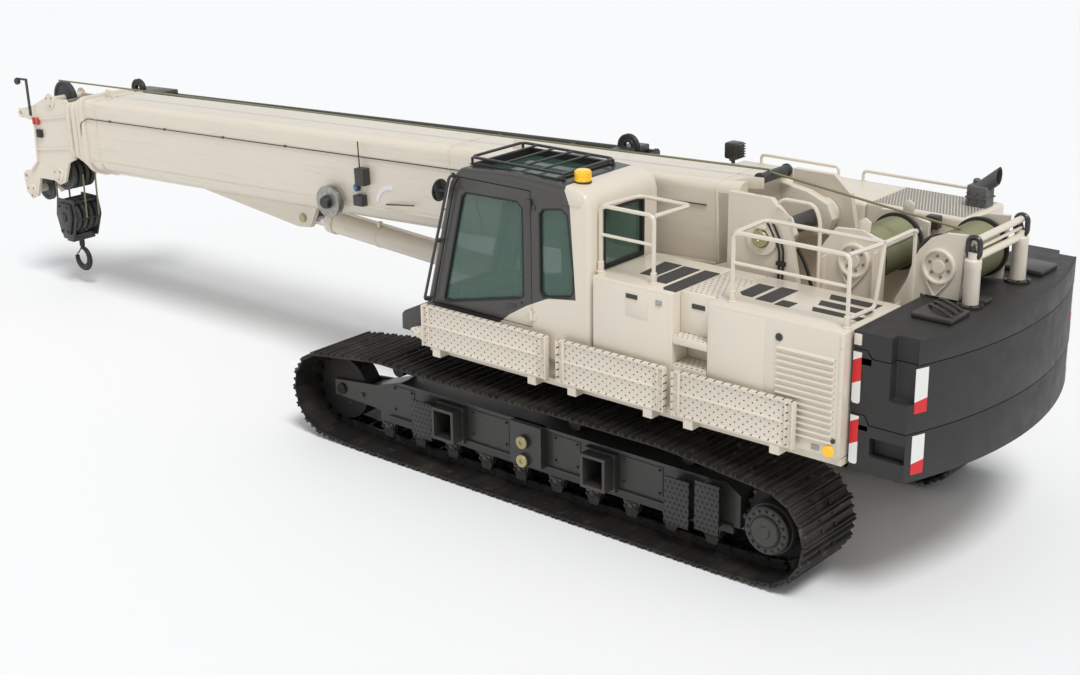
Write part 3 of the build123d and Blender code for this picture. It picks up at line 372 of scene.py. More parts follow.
def bumped(shader, height, distance, strength):
    """Small relief on the surface."""
    bump = height.node("ShaderNodeBump", None, {"Height": height, "Distance": distance,
        "Strength": strength})
    bump.feed(shader, "Normal")


def mottled(name, first, second, patches, relief=None, roughness=0.4, metallic=0.0, coat=0.0, mix=None,
        amount=1.0):
    """A plain material: two near colours mixed by a grain, and a fine relief."""
    material, shader, spot = surface(name, roughness, metallic, coat)
    patches = grain(spot, *patches)
    if mix:
        patches = ramp(patches, *mix)
    blended(patches * amount, first, second).feed(shader, "Base Color")
    if relief:
        scale, detail, distance, strength = relief
        bumped(shader, grain(spot, scale, detail), distance, strength)
    return material


def dress(material, *nodes):
    """Gives the solids of the frame themselves a material."""
    for node in nodes:
        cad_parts[node].material_slots[0].material = material


def worn_steel(name, colour, bright, dust, roughness, metallic):
    """Dark rolled or cast steel: rubbed bright in patches, with dry dust in its hollows."""
    material, shader, spot = surface(name, roughness, metallic)
    patches = ramp(grain(spot, 9, 6), 0.62, 0.72)
    fine = grain(spot, 70, 4)
    dirt = ramp(grain(spot, 3.1, 5), 0.5, 0.72) * 0.45
    base = blended(patches * 0.55, colour, bright)
    blended(dirt, base, dust).feed(shader, "Base Color")
    (roughness - patches * 0.18 + fine * 0.12 + dirt * 0.25).feed(shader, "Roughness")
    bumped(shader, fine + grain(spot, 260, 2) * 0.4, 0.0012, 0.6)
    return material


track_steel = worn_steel("cast_track_steel", tint(46, 44, 42), tint(104, 100, 95), tint(92, 86, 76), 0.5,
    0.55)
chain_steel = worn_steel("forged_chain_steel", tint(36, 35, 34), tint(92, 90, 88), tint(66, 60, 52), 0.45,
    0.6)

END_X, END_Z, END_R = 2.245, 0.42, 0.4
belt = [(1.85, 0.0), (-1.85, 0.0), (-END_X, 0.02)]
belt += [(-END_X - END_R * sin(radians(turn)), END_Z - END_R * cos(radians(turn)))
    for turn in range(6, 175, 6)]
belt += [(-END_X, 0.82), (-1.43, 0.905), (-0.34, 0.905), (0.63, 0.893), (1.6, 0.905), (END_X, 0.82)]
belt += [(END_X + END_R * sin(radians(turn)), END_Z + END_R * cos(radians(turn)))
    for turn in range(6, 175, 6)]
belt += [(END_X, 0.02)]
belt_runs = [(Vector((a[0], 0, a[1])), Vector((b[0], 0, b[1]))) for a, b in zip(belt, belt[1:] + belt[:1])]
belt_length = sum((b - a).length for a, b in belt_runs)
SHOES = 68
shoe_pitch = belt_length / SHOES


def along_belt(distance):
    """A point of the belt's outer line and the way it runs there."""
    distance %= belt_length
    for start, end in belt_runs:
        run = end - start
        if distance <= run.length:
            return start + run.normalized() * distance, run.normalized()
        distance -= run.length
    return belt_runs[0][0], (belt_runs[0][1] - belt_runs[0][0]).normalized()


def belt_place(distance, y):
    """Stands a link on the belt: its length runs along it and its own +Z points inwards."""
    back = along_belt(distance - shoe_pitch / 2)[0]
    front = along_belt(distance + shoe_pitch / 2)[0]
    run = (front - back).normalized()
    inwards = Vector((run.z, 0, -run.x))
    return Matrix(((run.x, 0, inwards.x, (front.x + back.x) / 2), (0, 1, 0, y),
        (run.z, 0, inwards.z, (front.z + back.z) / 2), (0, 0, 0, 1)))


half = shoe_pitch / 2
shoe_section = [(-half + 0.002, 0.037), (-half + 0.002, 0.018), (-half + 0.014, 0.001),
    (-half + 0.022, 0.001), (-half + 0.034, 0.026), (-0.018, 0.027), (-0.006, 0.004), (0.006, 0.004),
    (0.018, 0.027), (half - 0.034, 0.026), (half - 0.022, 0.001), (half - 0.014, 0.001),
    (half - 0.003, 0.024), (half - 0.003, 0.037)]
link_outline = [(-0.106, 0.105), (-0.118, 0.09), (-0.118, 0.062), (-0.104, 0.045), (-0.06, 0.037),
    (0.058, 0.037), (0.072, 0.052), (0.072, 0.092), (0.058, 0.106), (0.02, 0.112), (-0.06, 0.112)]

bolt_profile = button(0.015, 0.037, 0.016, 0.011, 0.013)
for name, y in (("left", 1.15), ("right", -1.15)):
    places = [belt_place((n + 0.5) * shoe_pitch, y) for n in range(SHOES)]
    shoe = plate("shoe", shoe_section, -0.349, 0.349)
    heads = []
    for x in (-0.045, 0.045):
        for across_shoe in (-0.085, 0.085):
            heads.append(lathe("bolt", bolt_profile, (x, across_shoe, 0), "z", 6))
    shoe = joined("shoe", [shoe] + heads)
    shoes = repeated(name + "_shoes", shoe, places)
    finish(shoes, track_steel, name + "_crawler")
    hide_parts(name + "_track")
    sides = [plate("link", link_outline, edge * 0.062, edge * 0.088) for edge in (-1, 1)]
    pin = lathe("pin", rect(0, -0.094, 0.019, 0.094), (-0.095, 0, 0.076), "y", 8)
    link = joined("link", sides + [pin])
    chain = repeated(name + "_chain", link, places)
    finish(chain, chain_steel, name + "_crawler")
    dress(chain_steel, name + "_sprocket", name + "_idler", name + "_rollers")

# Side frames: welded black-painted boxes with roller guards along the foot. Bolted bearing plates
# carry each roller, collars hold the sliding beams, and folded plates with round holes are steps.
def dusty_black(name, colour, rough=0.42):
    """Black machine paint with faint dust and small chips."""
    material, shader, spot = surface(name, rough, 0.0, 0.15)
    haze = ramp(grain(spot, 1.7, 5), 0.45, 0.75)
    speck = ramp(grain(spot, 38, 6), 0.66, 0.7)
    base = blended(haze * 0.35, colour, tint(86, 82, 76))
    blended(speck * 0.5, base, tint(108, 104, 98)).feed(shader, "Base Color")
    (rough + haze * 0.18 + speck * 0.2).feed(shader, "Roughness")
    bumped(shader, grain(spot, 120, 3), 0.0008, 0.35)
    return material


frame_black = dusty_black("frame_black_paint", tint(52, 51, 49))
zinc_yellow = worn_steel("zinc_yellow_pins", tint(176, 168, 128), tint(210, 205, 180), tint(120, 112, 90),
    0.35, 0.7)
dress(frame_black, "left_side_frame", "left_beams", "right_side_frame", "right_beams")


def hexagon_bolt(size, height, place, side="y"):
    """A bolt head on a washer, standing out along one axis, or against it if the size is negative."""
    out = height if size > 0 else -height
    size = abs(size)
    washer = size * 1.35
    return lathe("bolt", [(0, -out * 0.2), (washer, -out * 0.2), (washer, out * 0.25), (size, out * 0.25),
        (size, out * 0.9), (size * 0.8, out), (0, out)], place, side, 6)


def bolt_ring(size, height, centre, radius, count, side="y", start=0.0):
    """Bolts spaced evenly round a circle."""
    bolts = []
    for n in range(count):
        turn = start + n * 2 * pi / count
        step = place_at(side, 0, radius * cos(turn), radius * sin(turn))
        bolts.append(hexagon_bolt(size, height, tuple(a + b for a, b in zip(centre, step)), side))
    return bolts


roller_x = [-1.69 + number * 3.38 / 9 for number in range(10)]
for name, sign in (("left", 1), ("right", -1)):
    face = sign * 1.27
    trim = []
    for x in roller_x:
        cap = plate("cap", rect(x - 0.06, 0.168, x + 0.06, 0.232), face, face + sign * 0.014)
        trim.append(bevelled(cap, 0.004))
        trim.append(lathe("end", button(0.026, 0, 0.024, 0.02, 0.028), (x, face, 0.2), "y", 12, sign=sign))
        for shift in (-0.045, 0.045):
            trim.append(hexagon_bolt(sign * 0.01, 0.02, (x + shift, face + sign * 0.014, 0.2)))
    trim.append(plate("top_flange", rect(-1.8, 0.632, 1.5, 0.65), face, face + sign * 0.03))
    trim.append(plate("foot_flange", rect(-1.88, 0.3, 1.66, 0.316), face, face + sign * 0.022))
    for start, stop in ((0.3, 0.72), (-0.44, -0.16), (-1.24, -0.84), (1.36, 1.62)):
        panel = plate("panel", rect(start, 0.36, stop, 0.6), face, face + sign * 0.006)
        trim.append(bevelled(panel, 0.003, 1))
        for x in (start + 0.03, stop - 0.03):
            for z in (0.385, 0.575):
                trim.append(hexagon_bolt(sign * 0.009, 0.016, (x, face + sign * 0.006, z)))
    shift = 0.0 if sign > 0 else -0.33
    for centre in (0.91 + shift, -0.67 + shift):
        for left, low, right, high in ((-0.15, 0.292, 0.15, 0.31), (-0.15, 0.59, 0.15, 0.608),
                (-0.15, 0.31, -0.122, 0.59), (0.122, 0.31, 0.15, 0.59)):
            trim.append(plate("collar", rect(centre + left, low, centre + right, high), face,
                face + sign * 0.055))
        for z in (0.35, 0.55):
            for x in (centre - 0.136, centre + 0.136):
                trim.append(hexagon_bolt(sign * 0.008, 0.014, (x, face + sign * 0.055, z)))
    for x in (-1.99, 1.99):
        trim.append(hexagon_bolt(sign * 0.018, 0.02, (x, face, 0.42)))
    finish(joined(name + "_frame_fittings", trim), frame_black, name + "_crawler")
    pins = []
    for z in (0.5, 0.34):
        pins.append(lathe("pin", [(0, 0), (0.05, 0), (0.055, 0.004), (0.055, 0.016), (0.05, 0.022),
            (0.02, 0.022), (0.018, 0.012), (0, 0.012)], (0.08, sign * 1.37, z), "y", 24, sign=sign))
    finish(joined(name + "_lug_pins", pins), zinc_yellow, name + "_crawler")

# Step plates: black pressed sheet with rows of round holes and turned-in lips, bolted to brackets on
# the outside of each side frame.
step_black, shader, spot = surface("holed_step_black", 0.4, 0.2)


def hole_rows(spot, pitch, radius, up=2, rows=None):
    """1 on rows of round holes, every other row shifted by half a pitch."""
    rows = rows or pitch
    places = axes_of(spot)
    v = places[up] / rows
    odd = v.sum("FLOORED_MODULO", v.sum("FLOOR", v), 2)
    u = places[0] / pitch + odd * 0.5
    u = (u.sum("FRACT", u) - 0.5) * pitch
    v = (v.sum("FRACT", v) - 0.5) * rows
    away = u.sum("SQRT", u * u + v * v)
    return 1 - ramp(away, radius, radius * 1.25)


holes = hole_rows(spot, 0.042, 0.01)
# The holes are painted near black: painted shade, for the dark seen through them.
blended(holes, tint(56, 55, 53), tint(12, 12, 12)).feed(shader, "Base Color")
bumped(shader, 1 - holes, 0.004, 0.8)
for name, sign in (("left", 1), ("right", -1)):
    steps = []
    for rear, front, low, high in ((1.07, 1.29, 0.26, 0.58), (-1.55, -1.33, 0.22, 0.6),
            (-1.82, -1.61, 0.25, 0.64)):
        outline = rect(rear - 0.004, low - 0.004, front + 0.004, high + 0.004)
        steps.append(bevelled(plate("step", outline, sign * 1.372, sign * 1.386), 0.004))
    finish(joined(name + "_step_plates", steps), step_black, name + "_crawler")

# Sprockets: a cast steel ring of teeth that drives the chain, on a sealed gear drum whose black
# cover is held by a ring of bolts.
TEETH = 21
for name, sign in (("left", 1), ("right", -1)):
    teeth = []
    for number in range(TEETH):
        for offset, radius in ((-0.34, 0.262), (-0.16, 0.306), (0.16, 0.306), (0.34, 0.262)):
            turn = (number + offset) * 2 * pi / TEETH
            teeth.append((-END_X + radius * cos(turn), END_Z + radius * sin(turn)))
    ring = plate("teeth", teeth, sign * 1.15 - 0.032, sign * 1.15 + 0.032)
    drum = lathe("drum", [(0, 1.24), (0.2, 1.24), (0.205, 1.33), (0.196, 1.345), (0.186, 1.345),
        (0.186, 1.395), (0.172, 1.408), (0.128, 1.408), (0.122, 1.424), (0.05, 1.43), (0.046, 1.438),
        (0, 1.438)], (-END_X, 0, END_Z), "y", 48, sign=sign)
    bolts = bolt_ring(sign * 0.011, 0.016, (-END_X, sign * 1.408, END_Z), 0.154, 16)
    finish(joined(name + "_drive_drum", [ring, drum] + bolts), frame_black, name + "_crawler")

# Carbody and slewing ring: a black box weldment between the tracks; the ring is machined steel with
# a row of bolts and a thin line of grease under its seal.
dress(frame_black, "carbody")
ring_steel = worn_steel("slewing_ring_steel", tint(74, 72, 69), tint(120, 117, 112), tint(70, 58, 42), 0.4,
    0.7)
dress(ring_steel, "slewing_ring")
race = lathe("race", [(0.701, 0.905), (0.73, 0.905), (0.73, 0.962), (0.708, 0.968), (0.708, 0.985),
    (0.726, 0.991), (0.726, 1.05), (0.701, 1.05)], (0, 0, 0), "z", 96)
bolts = bolt_ring(0.013, 0.018, (0, 0, 0.902), 0.745, 48, "z")
finish(joined("ring_bolts", [race] + bolts), ring_steel, "lower")


# Turntable: cream-painted deck and frame box, with the two tall plates that carry the boom's foot.
# The pin shows as a zinc-plated disc held by a keeper plate on each side. The paint is a cream
# two-pack coat: faintly cloudy, a little road dust low down, fine orange peel.
CREAM, CREAM_SHADE = tint(226, 216, 200), tint(214, 203, 185)
GLOSS, COAT = 0.3, 0.35
cream, shader, spot = surface("cream_machine_paint", GLOSS, 0.0, COAT)
base = blended(ramp(grain(spot, 0.9, 4), 0.35, 0.75) * 0.3, CREAM, CREAM_SHADE)
low = (1 - ramp(axes_of(spot)[2], 0.95, 1.75)) * ramp(grain(spot, 4.5, 6), 0.42, 0.72)
blended(low * 0.3, base, tint(176, 164, 142)).feed(shader, "Base Color")
(GLOSS + low * 0.25 + grain(spot, 22, 3) * 0.06).feed(shader, "Roughness")
bumped(shader, grain(spot, 210, 2), 0.0004, 0.25)
dress(cream, "turntable")
steel_bolts = worn_steel("plated_bolts", tint(150, 146, 138), tint(190, 188, 182), tint(110, 100, 84), 0.4,
    0.8)
FOOT_PIN = (-1.55, 0, 2.28)
foot_pins, keepers = [], []
for sign in (1, -1):
    foot_pins.append(lathe("pin", [(0, 0.48), (0.068, 0.48), (0.068, 0.52), (0.06, 0.528), (0.018, 0.528),
        (0.012, 0.52), (0, 0.52)], FOOT_PIN, "y", 40, sign=sign))
    keepers.append(lathe("boss", [(0.071, 0.48), (0.135, 0.48), (0.135, 0.496), (0.128, 0.502),
        (0.074, 0.502), (0.071, 0.498)], FOOT_PIN, "y", 48, sign=sign))
    keeper = plate("keeper", rect(-1.6, 2.35, -1.5, 2.385), sign * 0.502, sign * 0.514)
    keepers.append(bevelled(keeper, 0.003))
    for x in (-1.585, -1.515):
        keepers.append(hexagon_bolt(sign * 0.01, 0.014, (x, sign * 0.514, 2.3675)))
    for rear, front in ((-1.2, -0.9), (-2.3, -1.9)):
        corners = [(rear, 1.42), (front, 1.42), ((rear + front) / 2, 1.42 + 0.24)]
        keepers.append(plate("gusset", corners, sign * 0.482, sign * 0.6))
finish(joined("foot_pin_ends", foot_pins), zinc_yellow, "upper")
finish(joined("foot_pin_keepers", keepers), cream, "upper")

# Cab: a welded shell of rounded tube and sheet, cream behind and below, satin black round the
# windows in front. The panes are green-tinted and sit in black rubber.
def ring_plate(name, outline, near, far, width, side="y"):
    """A frame of even width round an opening, cut from a flat plate."""
    piece = drawn(name, [place_at(side, near, a, b) for a, b in outline], "NGON")
    bpy.ops.mesh.inset(thickness=width, depth=0)
    bpy.ops.mesh.delete(type="FACE")
    bpy.ops.mesh.select_all(action="SELECT")
    return thickened(piece, far - near, side)


def inner_plate(name, outline, near, far, width):
    """A plate whose outline is drawn in by a width."""
    piece = drawn(name, [(a, near, b) for a, b in outline], "NGON")
    bpy.ops.mesh.inset(thickness=width, depth=0)
    bpy.ops.mesh.select_mode(type="FACE")
    bpy.ops.mesh.select_all(action="INVERT")
    bpy.ops.mesh.delete(type="FACE")
    bpy.ops.mesh.select_mode(type="VERT")
    bpy.ops.mesh.select_all(action="SELECT")
    return thickened(piece, far - near, "y")


def cut_by(piece, *cutters):
    """Cuts each cutter's shape out of the piece."""
    for cutter in cutters:
        rest()
        bpy.context.view_layer.objects.active = piece
        piece.select_set(True)
        cut = piece.modifiers.new("cut", "BOOLEAN")
        cut.operation = "DIFFERENCE"
        cut.object = cutter
        cut.solver = "EXACT"
        bpy.ops.object.modifier_apply(modifier=cut.name)
        bpy.data.objects.remove(cutter)
    return piece


CAB_SIDE = [(-0.61, 1.25), (1.06, 1.25), (1.09, 1.48), (0.8, 2.54), (0.69, 2.66), (0.15, 2.69),
    (-0.48, 2.67), (-0.58, 2.62), (-0.61, 2.53)]
DOOR_EDGE = [(-0.045, 1.493), (1.01, 1.493), (0.75, 2.5), (0.69, 2.59), (-0.045, 2.59)]
DOOR_PANE = [(0.035, 1.73), (0.085, 1.7), (0.82, 1.53), (0.88, 1.528), (0.895, 1.56), (0.672, 2.44),
    (0.625, 2.478), (0.09, 2.49), (0.035, 2.44)]
REAR_PANE = [(-0.118, 1.8), (-0.155, 1.754), (-0.425, 1.806), (-0.462, 1.86), (-0.458, 2.04),
    (-0.405, 2.46), (-0.345, 2.5), (-0.16, 2.47), (-0.118, 2.425)]
RIGHT_PANE = [(-0.47, 1.64), (0.89, 1.56), (0.7, 2.44), (-0.4, 2.5)]
BACK_PANE = rect(0.69, 2.03, 1.2, 2.5)
ROOF_PANE = rect(-0.24, 0.59, 0.62, 1.28)
(foot_x, foot_z), (brow_x, brow_z) = CAB_SIDE[2:4]
lean = Vector((brow_x - foot_x, 0, brow_z - foot_z))
lean_turn = Matrix.Translation((foot_x, 0, foot_z)) @ Matrix.Rotation(atan2(lean.x, lean.z), 4, "Y")
screen = rect(0.59, 0.07, 1.28, lean.length - 0.06)

cab_colours, shader, spot = surface("cab_cream_and_black", GLOSS, 0.0, COAT)
cab_x, _, cab_z = axes_of(spot)
sweep = cab_x.sum("MINIMUM", 1.8 - 0.14 * (cab_x + 0.46), 1.764 - 0.47 * (cab_x + 0.204))
sweep = sweep.sum("MINIMUM", sweep, 1.6025 - 0.6 * (cab_x - 0.112))
sweep = sweep.sum("MINIMUM", sweep, 1.56 - 0.82 * (cab_x - 0.185))
border = cab_x.sum("MAXIMUM", -0.475 + 0.0726 * (cab_z - 1.823), -0.423 + 0.4 * (cab_z - 2.539))
black_part = ramp(cab_z - sweep, -0.0015, 0.0015) * ramp(cab_x - border, -0.0015, 0.0015)
cloud = ramp(grain(spot, 1.1, 4), 0.35, 0.75) * 0.25
cream_side = blended(cloud, CREAM, CREAM_SHADE)
blended(black_part, cream_side, tint(58, 56, 53)).feed(shader, "Base Color")
(GLOSS + black_part * 0.08 + grain(spot, 22, 3) * 0.06).feed(shader, "Roughness")
bumped(shader, grain(spot, 210, 2), 0.0004, 0.25)

shell = bevelled(plate("cab_body", CAB_SIDE, 0.5, 1.37), 0.042, 4, 20)
cut_by(shell, inner_plate("inside", CAB_SIDE, 0.55, 1.32, 0.05))
cut_by(shell, plate("doorway", DOOR_EDGE, 1.3, 1.4), bevelled(plate("rear_pane", REAR_PANE, 1.3, 1.4),
    0.012, 2, 12), bevelled(plate("right_pane", RIGHT_PANE, 0.45, 0.57), 0.03, 3, 12),
    bevelled(plate("back_pane", BACK_PANE, -0.66, -0.54, "x"), 0.05, 3),
    bevelled(plate("roof_pane", ROOF_PANE, 2.6, 2.75, "z"), 0.04, 3),
    moved(bevelled(plate("screen", screen, -0.09, 0.06, "x"), 0.05, 3), lean_turn))


def hinge_halves(rear, front, bottoms, height):
    """Hinge leaves, each with its turned knuckle."""
    halves = []
    for z in bottoms:
        halves.append(plate("leaf", rect(rear, z, front, z + height), 1.37, 1.378))
        halves.append(lathe("knuckle", rect(0, z, 0.014, z + height), (-0.042, 1.384, 0), "z", 16))
    return halves


shell = joined("cab_body", [shell] + hinge_halves(-0.087, -0.042, (1.56, 2.44), 0.04))
finish(shell, cab_colours, "upper")
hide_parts("cab_shell")
cover = bevelled(plate("cover", [(-0.362, 2.535), (-0.53, 2.535), (-0.535, 2.59), (-0.488, 2.642),
    (-0.362, 2.65)], 1.366, 1.376), 0.004)
finish(cover, cab_colours, "upper")

door_leaf = inner_plate("door_leaf", DOOR_EDGE, 1.32, 1.37, 0.006)
door_leaf = bevelled(door_leaf, 0.006, 2)
cut_by(door_leaf, plate("pane", DOOR_PANE, 1.3, 1.4))
door_leaf = joined("door_leaf", [door_leaf] + hinge_halves(-0.042, 0.003, (1.6003, 2.4803), 0.0397))
finish(door_leaf, cab_colours, "door")
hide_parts("cab_door")

rubber = mottled("black_rubber", tint(26, 26, 26), tint(44, 43, 42), (30, 4), (160, 3, 0.0005, 0.4), 0.6,
    amount=0.5)


def seal(name, outline, near, far, body, side="y", width=0.016):
    """A rubber seal round a pane."""
    return finish(bevelled(ring_plate(name, outline, near, far, width, side), 0.003, 1), rubber, body)


seal("door_pane_rubber", DOOR_PANE, 1.335, 1.3735, "door")
seal("rear_pane_rubber", REAR_PANE, 1.335, 1.3735, "upper")
seal("right_pane_rubber", RIGHT_PANE, 0.535, 0.4965, "upper")
seal("back_pane_rubber", BACK_PANE, -0.575, -0.616, "upper", "x", 0.026)
seal("roof_pane_rubber", ROOF_PANE, 2.64, 2.692, "upper", "z", 0.03)
screen_rubber = moved(ring_plate("screen_rubber", screen, -0.04, 0.003, 0.02, "x"), lean_turn)
finish(screen_rubber, rubber, "upper")

pane, shader, spot = surface("green_tinted_glass", 0.04, 0.0, 0.5)
shader.inputs["Base Color"].default_value = tint(78, 112, 98)
shader.inputs["IOR"].default_value = 1.5
smear = ramp(grain(spot, 2.2, 5), 0.45, 0.75)
(0.5 + smear * 0.05).feed(shader, "Alpha")
(0.03 + smear * 0.05).feed(shader, "Roughness")
dress(pane, "cab_glass", "door_glass")


# Roof guard and nose: the guard is round steel bar bent at each corner, painted black and bolted to
# the roof on four feet; the nose is a black cover of pressed sheet under the windscreen.
def tube(name, points, radius, corner=0.03, sides=10):
    """A round bar bent through the points: a wire of edges, its corners rounded, given its thickness."""
    if len(points) == 2:
        points = [points[0], tuple((Vector(points[0]) + Vector(points[1])) / 2), points[1]]
    piece = drawn(name, points)
    opened(piece)
    bpy.ops.mesh.select_all(action="DESELECT")
    bpy.ops.object.mode_set(mode="OBJECT")
    if corner:
        for vertex in piece.data.vertices:
            vertex.select = 0 < vertex.index < len(points) - 1
        bpy.ops.object.mode_set(mode="EDIT")
        bpy.ops.mesh.bevel(offset=corner, segments=4, affect="VERTICES")
        bpy.ops.object.mode_set(mode="OBJECT")
    bpy.ops.object.convert(target="CURVE")
    piece = bpy.context.object
    piece.data.bevel_depth = radius
    piece.data.bevel_resolution = max(0, sides // 4 - 1)
    piece.data.use_fill_caps = True
    bpy.ops.object.convert(target="MESH")
    piece = bpy.context.object
    piece.name = piece.data.name = name
    return piece


satin_black = dusty_black("satin_black_parts", tint(44, 43, 42), 0.35)
GUARD_Z = 2.728
loop = [(0.2, 0.63), (-0.27, 0.63), (-0.27, 1.25), (0.66, 1.25), (0.66, 0.63), (0.19, 0.63)]
guard = [tube("bar", [(x, y, GUARD_Z) for x, y in loop], 0.012, 0.045)]
for x in (0.5, 0.32, 0.14, -0.04):
    guard.append(tube("bar", [(x, 0.63, GUARD_Z), (x, 1.25, GUARD_Z)], 0.009, 0))
for x, low in ((0.655, 2.668), (-0.265, 2.684)):
    for y in (0.635, 1.245):
        guard.append(tube("post", [(x, y, low), (x, y, 2.724)], 0.012, 0))
        guard.append(lathe("foot", [(0, low), (0.022, low), (0.022, low + 0.006), (0, low + 0.008)],
            (x, y, 0), "z", 16))
finish(joined("roof_guard", guard), satin_black, "upper")
nose = bevelled(plate("cab_nose", [(1.07, 1.47), (1.15, 1.448), (1.352, 1.35), (1.382, 1.322),
    (1.385, 1.185), (1.07, 1.185)], 0.605, 1.368), 0.014, 3)
finish(nose, satin_black, "upper")

# Cab fittings: round mirror and grab bar by the front post, amber beacon on the roof, wipers, door
# handle, and inside the seat with its consoles, levers and screen.
grab = [tube("bar", [(0.745, 1.368, 2.59), (0.745, 1.42, 2.59), (1.062, 1.42, 1.512),
    (1.062, 1.368, 1.512)], 0.012, 0.03)]
grab.append(tube("stay", [(0.91, 1.368, 2.03), (0.91, 1.42, 2.03)], 0.009, 0))
grab.append(tube("mirror_arm", [(0.783, 1.42, 2.462), (0.862, 1.412, 2.462)], 0.009, 0))
for x, z in ((0.745, 2.59), (1.062, 1.512), (0.91, 2.03)):
    grab.append(lathe("foot", button(0.024, 1.3695, 1.374, 0.014, 1.377), (x, 0, z), "y", 20))
MIRROR = (0.868, 1.412, 2.462)
grab.append(lathe("mirror_case", [(0, 0.013), (0.045, 0.011), (0.08, 0.002), (0.09, -0.006), (0.09, -0.012),
    (0.085, -0.013), (0.083, -0.008), (0, -0.008)], MIRROR, "x", 40))
finish(joined("grab_bar_and_mirror", grab), satin_black, "upper")
silver = mottled("silvered_mirror_glass", tint(206, 212, 214), tint(190, 198, 200), (8, 4), None, 0.05, 1.0,
    0.3)
mirror = lathe("mirror_glass", [(0, -0.0105), (0.083, -0.009), (0.083, -0.0078), (0, -0.0078)], MIRROR, "x",
    40)
finish(mirror, silver, "upper")

wipers = []
for bottom, top, y in ((0.12, 0.72, 0.95), (0.55, 0.98, 0.8)):
    wipers.append(tube("arm", [(0.025, y, bottom), (0.032, y + 0.24, top)], 0.007, 0))
    wipers.append(tube("blade", [(0.012, y + 0.02, top - 0.1), (0.012, y + 0.4, top + 0.12)], 0.006, 0))
finish(moved(joined("wipers", wipers), lean_turn), satin_black, "upper")

pull = bevelled(plate("pull", [(0.115, 1.622), (0.225, 1.6), (0.225, 1.64), (0.115, 1.662)], 1.366, 1.3735),
    0.006)
knob = lathe("lock", rect(0, 1.372, 0.012, 1.377), (0.068, 0, 1.672), "y", 16)
finish(joined("door_pull", [pull, knob]), satin_black, "door")

amber, shader, spot = surface("amber_lens", 0.15, 0.0, 0.4)
ribs = ramp(spot.node("ShaderNodeTexWave", {"bands_direction": "Z"}, {"Vector": spot, "Scale": 30}), 0.3,
    0.7)
for socket in ("Base Color", "Emission Color"):
    blended(ribs, tint(232, 160, 10), tint(250, 205, 30)).feed(shader, socket)
shader.inputs["Emission Strength"].default_value = 0.25
BEACON = (-0.4, 1.18, 0)
dome = lathe("beacon_dome", [(0, 2.684), (0.062, 2.684), (0.066, 2.69), (0.064, 2.727), (0.066, 2.733),
    (0.064, 2.757), (0.054, 2.767), (0, 2.77)], BEACON, "z", 32)
finish(dome, amber, "upper")
base = lathe("beacon_base", [(0, 2.655), (0.06, 2.655), (0.068, 2.67), (0.068, 2.684), (0, 2.684)], BEACON,
    "z", 32)
finish(base, satin_black, "upper")

seat_cloth, shader, spot = surface("dark_seat_fabric", 0.85)
weave = cells(spot, 330)
soft_spots = ramp(grain(spot, 12, 4), 0.4, 0.7)
blended(weave * 0.8 + soft_spots * 0.2, tint(52, 54, 58), tint(30, 31, 34)).feed(shader, "Base Color")
bumped(shader, weave, 0.0015, 0.6)


def cushion(name, low, high, swell, turn=None):
    """A padded cushion: a box cut fine, blown up and rounded, with a seam channel round its face."""
    rest()
    piece = block(name, low, high)
    bpy.context.view_layer.objects.active = piece
    piece.select_set(True)
    bpy.ops.object.mode_set(mode="EDIT")
    bpy.ops.mesh.select_all(action="SELECT")
    bpy.ops.mesh.subdivide(number_cuts=9)
    bpy.ops.object.mode_set(mode="OBJECT")
    middle = (Vector(low) + Vector(high)) / 2
    half_size = (Vector(high) - Vector(low)) / 2
    for vertex in piece.data.vertices:
        away = vertex.co - middle
        u, v, w = (away[n] / half_size[n] for n in range(3))
        crown = (1 - u ** 2) * (1 - v ** 2)
        corner = (abs(u) * abs(v)) ** 3
        channel = 1 if abs(abs(v) - 0.6) < 0.08 and abs(u) < 0.85 and abs(w) > 0.9 else 0
        vertex.co.z += swell * crown * (1 if w > 0 else -0.3) - channel * 0.008 * (1 if w > 0 else -1)
        vertex.co.x -= away.x * 0.1 * corner
        vertex.co.y -= away.y * 0.1 * corner
    smoothing = piece.modifiers.new("smoothing", "SUBSURF")
    smoothing.levels = smoothing.render_levels = 1
    bpy.ops.object.modifier_apply(modifier=smoothing.name)
    return moved(piece, turn) if turn else piece


recline = Matrix.Rotation(radians(-82), 4, "Y")
seat_back_turn = Matrix.Translation((-0.25, 0.935, 1.68)) @ recline
head_turn = Matrix.Translation((-0.335, 0.935, 2.33)) @ recline
cushions = [
    cushion("seat", (-0.26, 0.705, 1.58), (0.22, 1.165, 1.68), 0.022),
    cushion("back", (0.02, -0.215, -0.045), (0.58, 0.215, 0.045), 0.025, seat_back_turn),
    cushion("head", (-0.04, -0.12, -0.03), (0.1, 0.12, 0.03), 0.012, head_turn),
]
seat = joined("padded_seat", cushions)
finish(seat, seat_cloth, "upper", 60)
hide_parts("operator_seat")

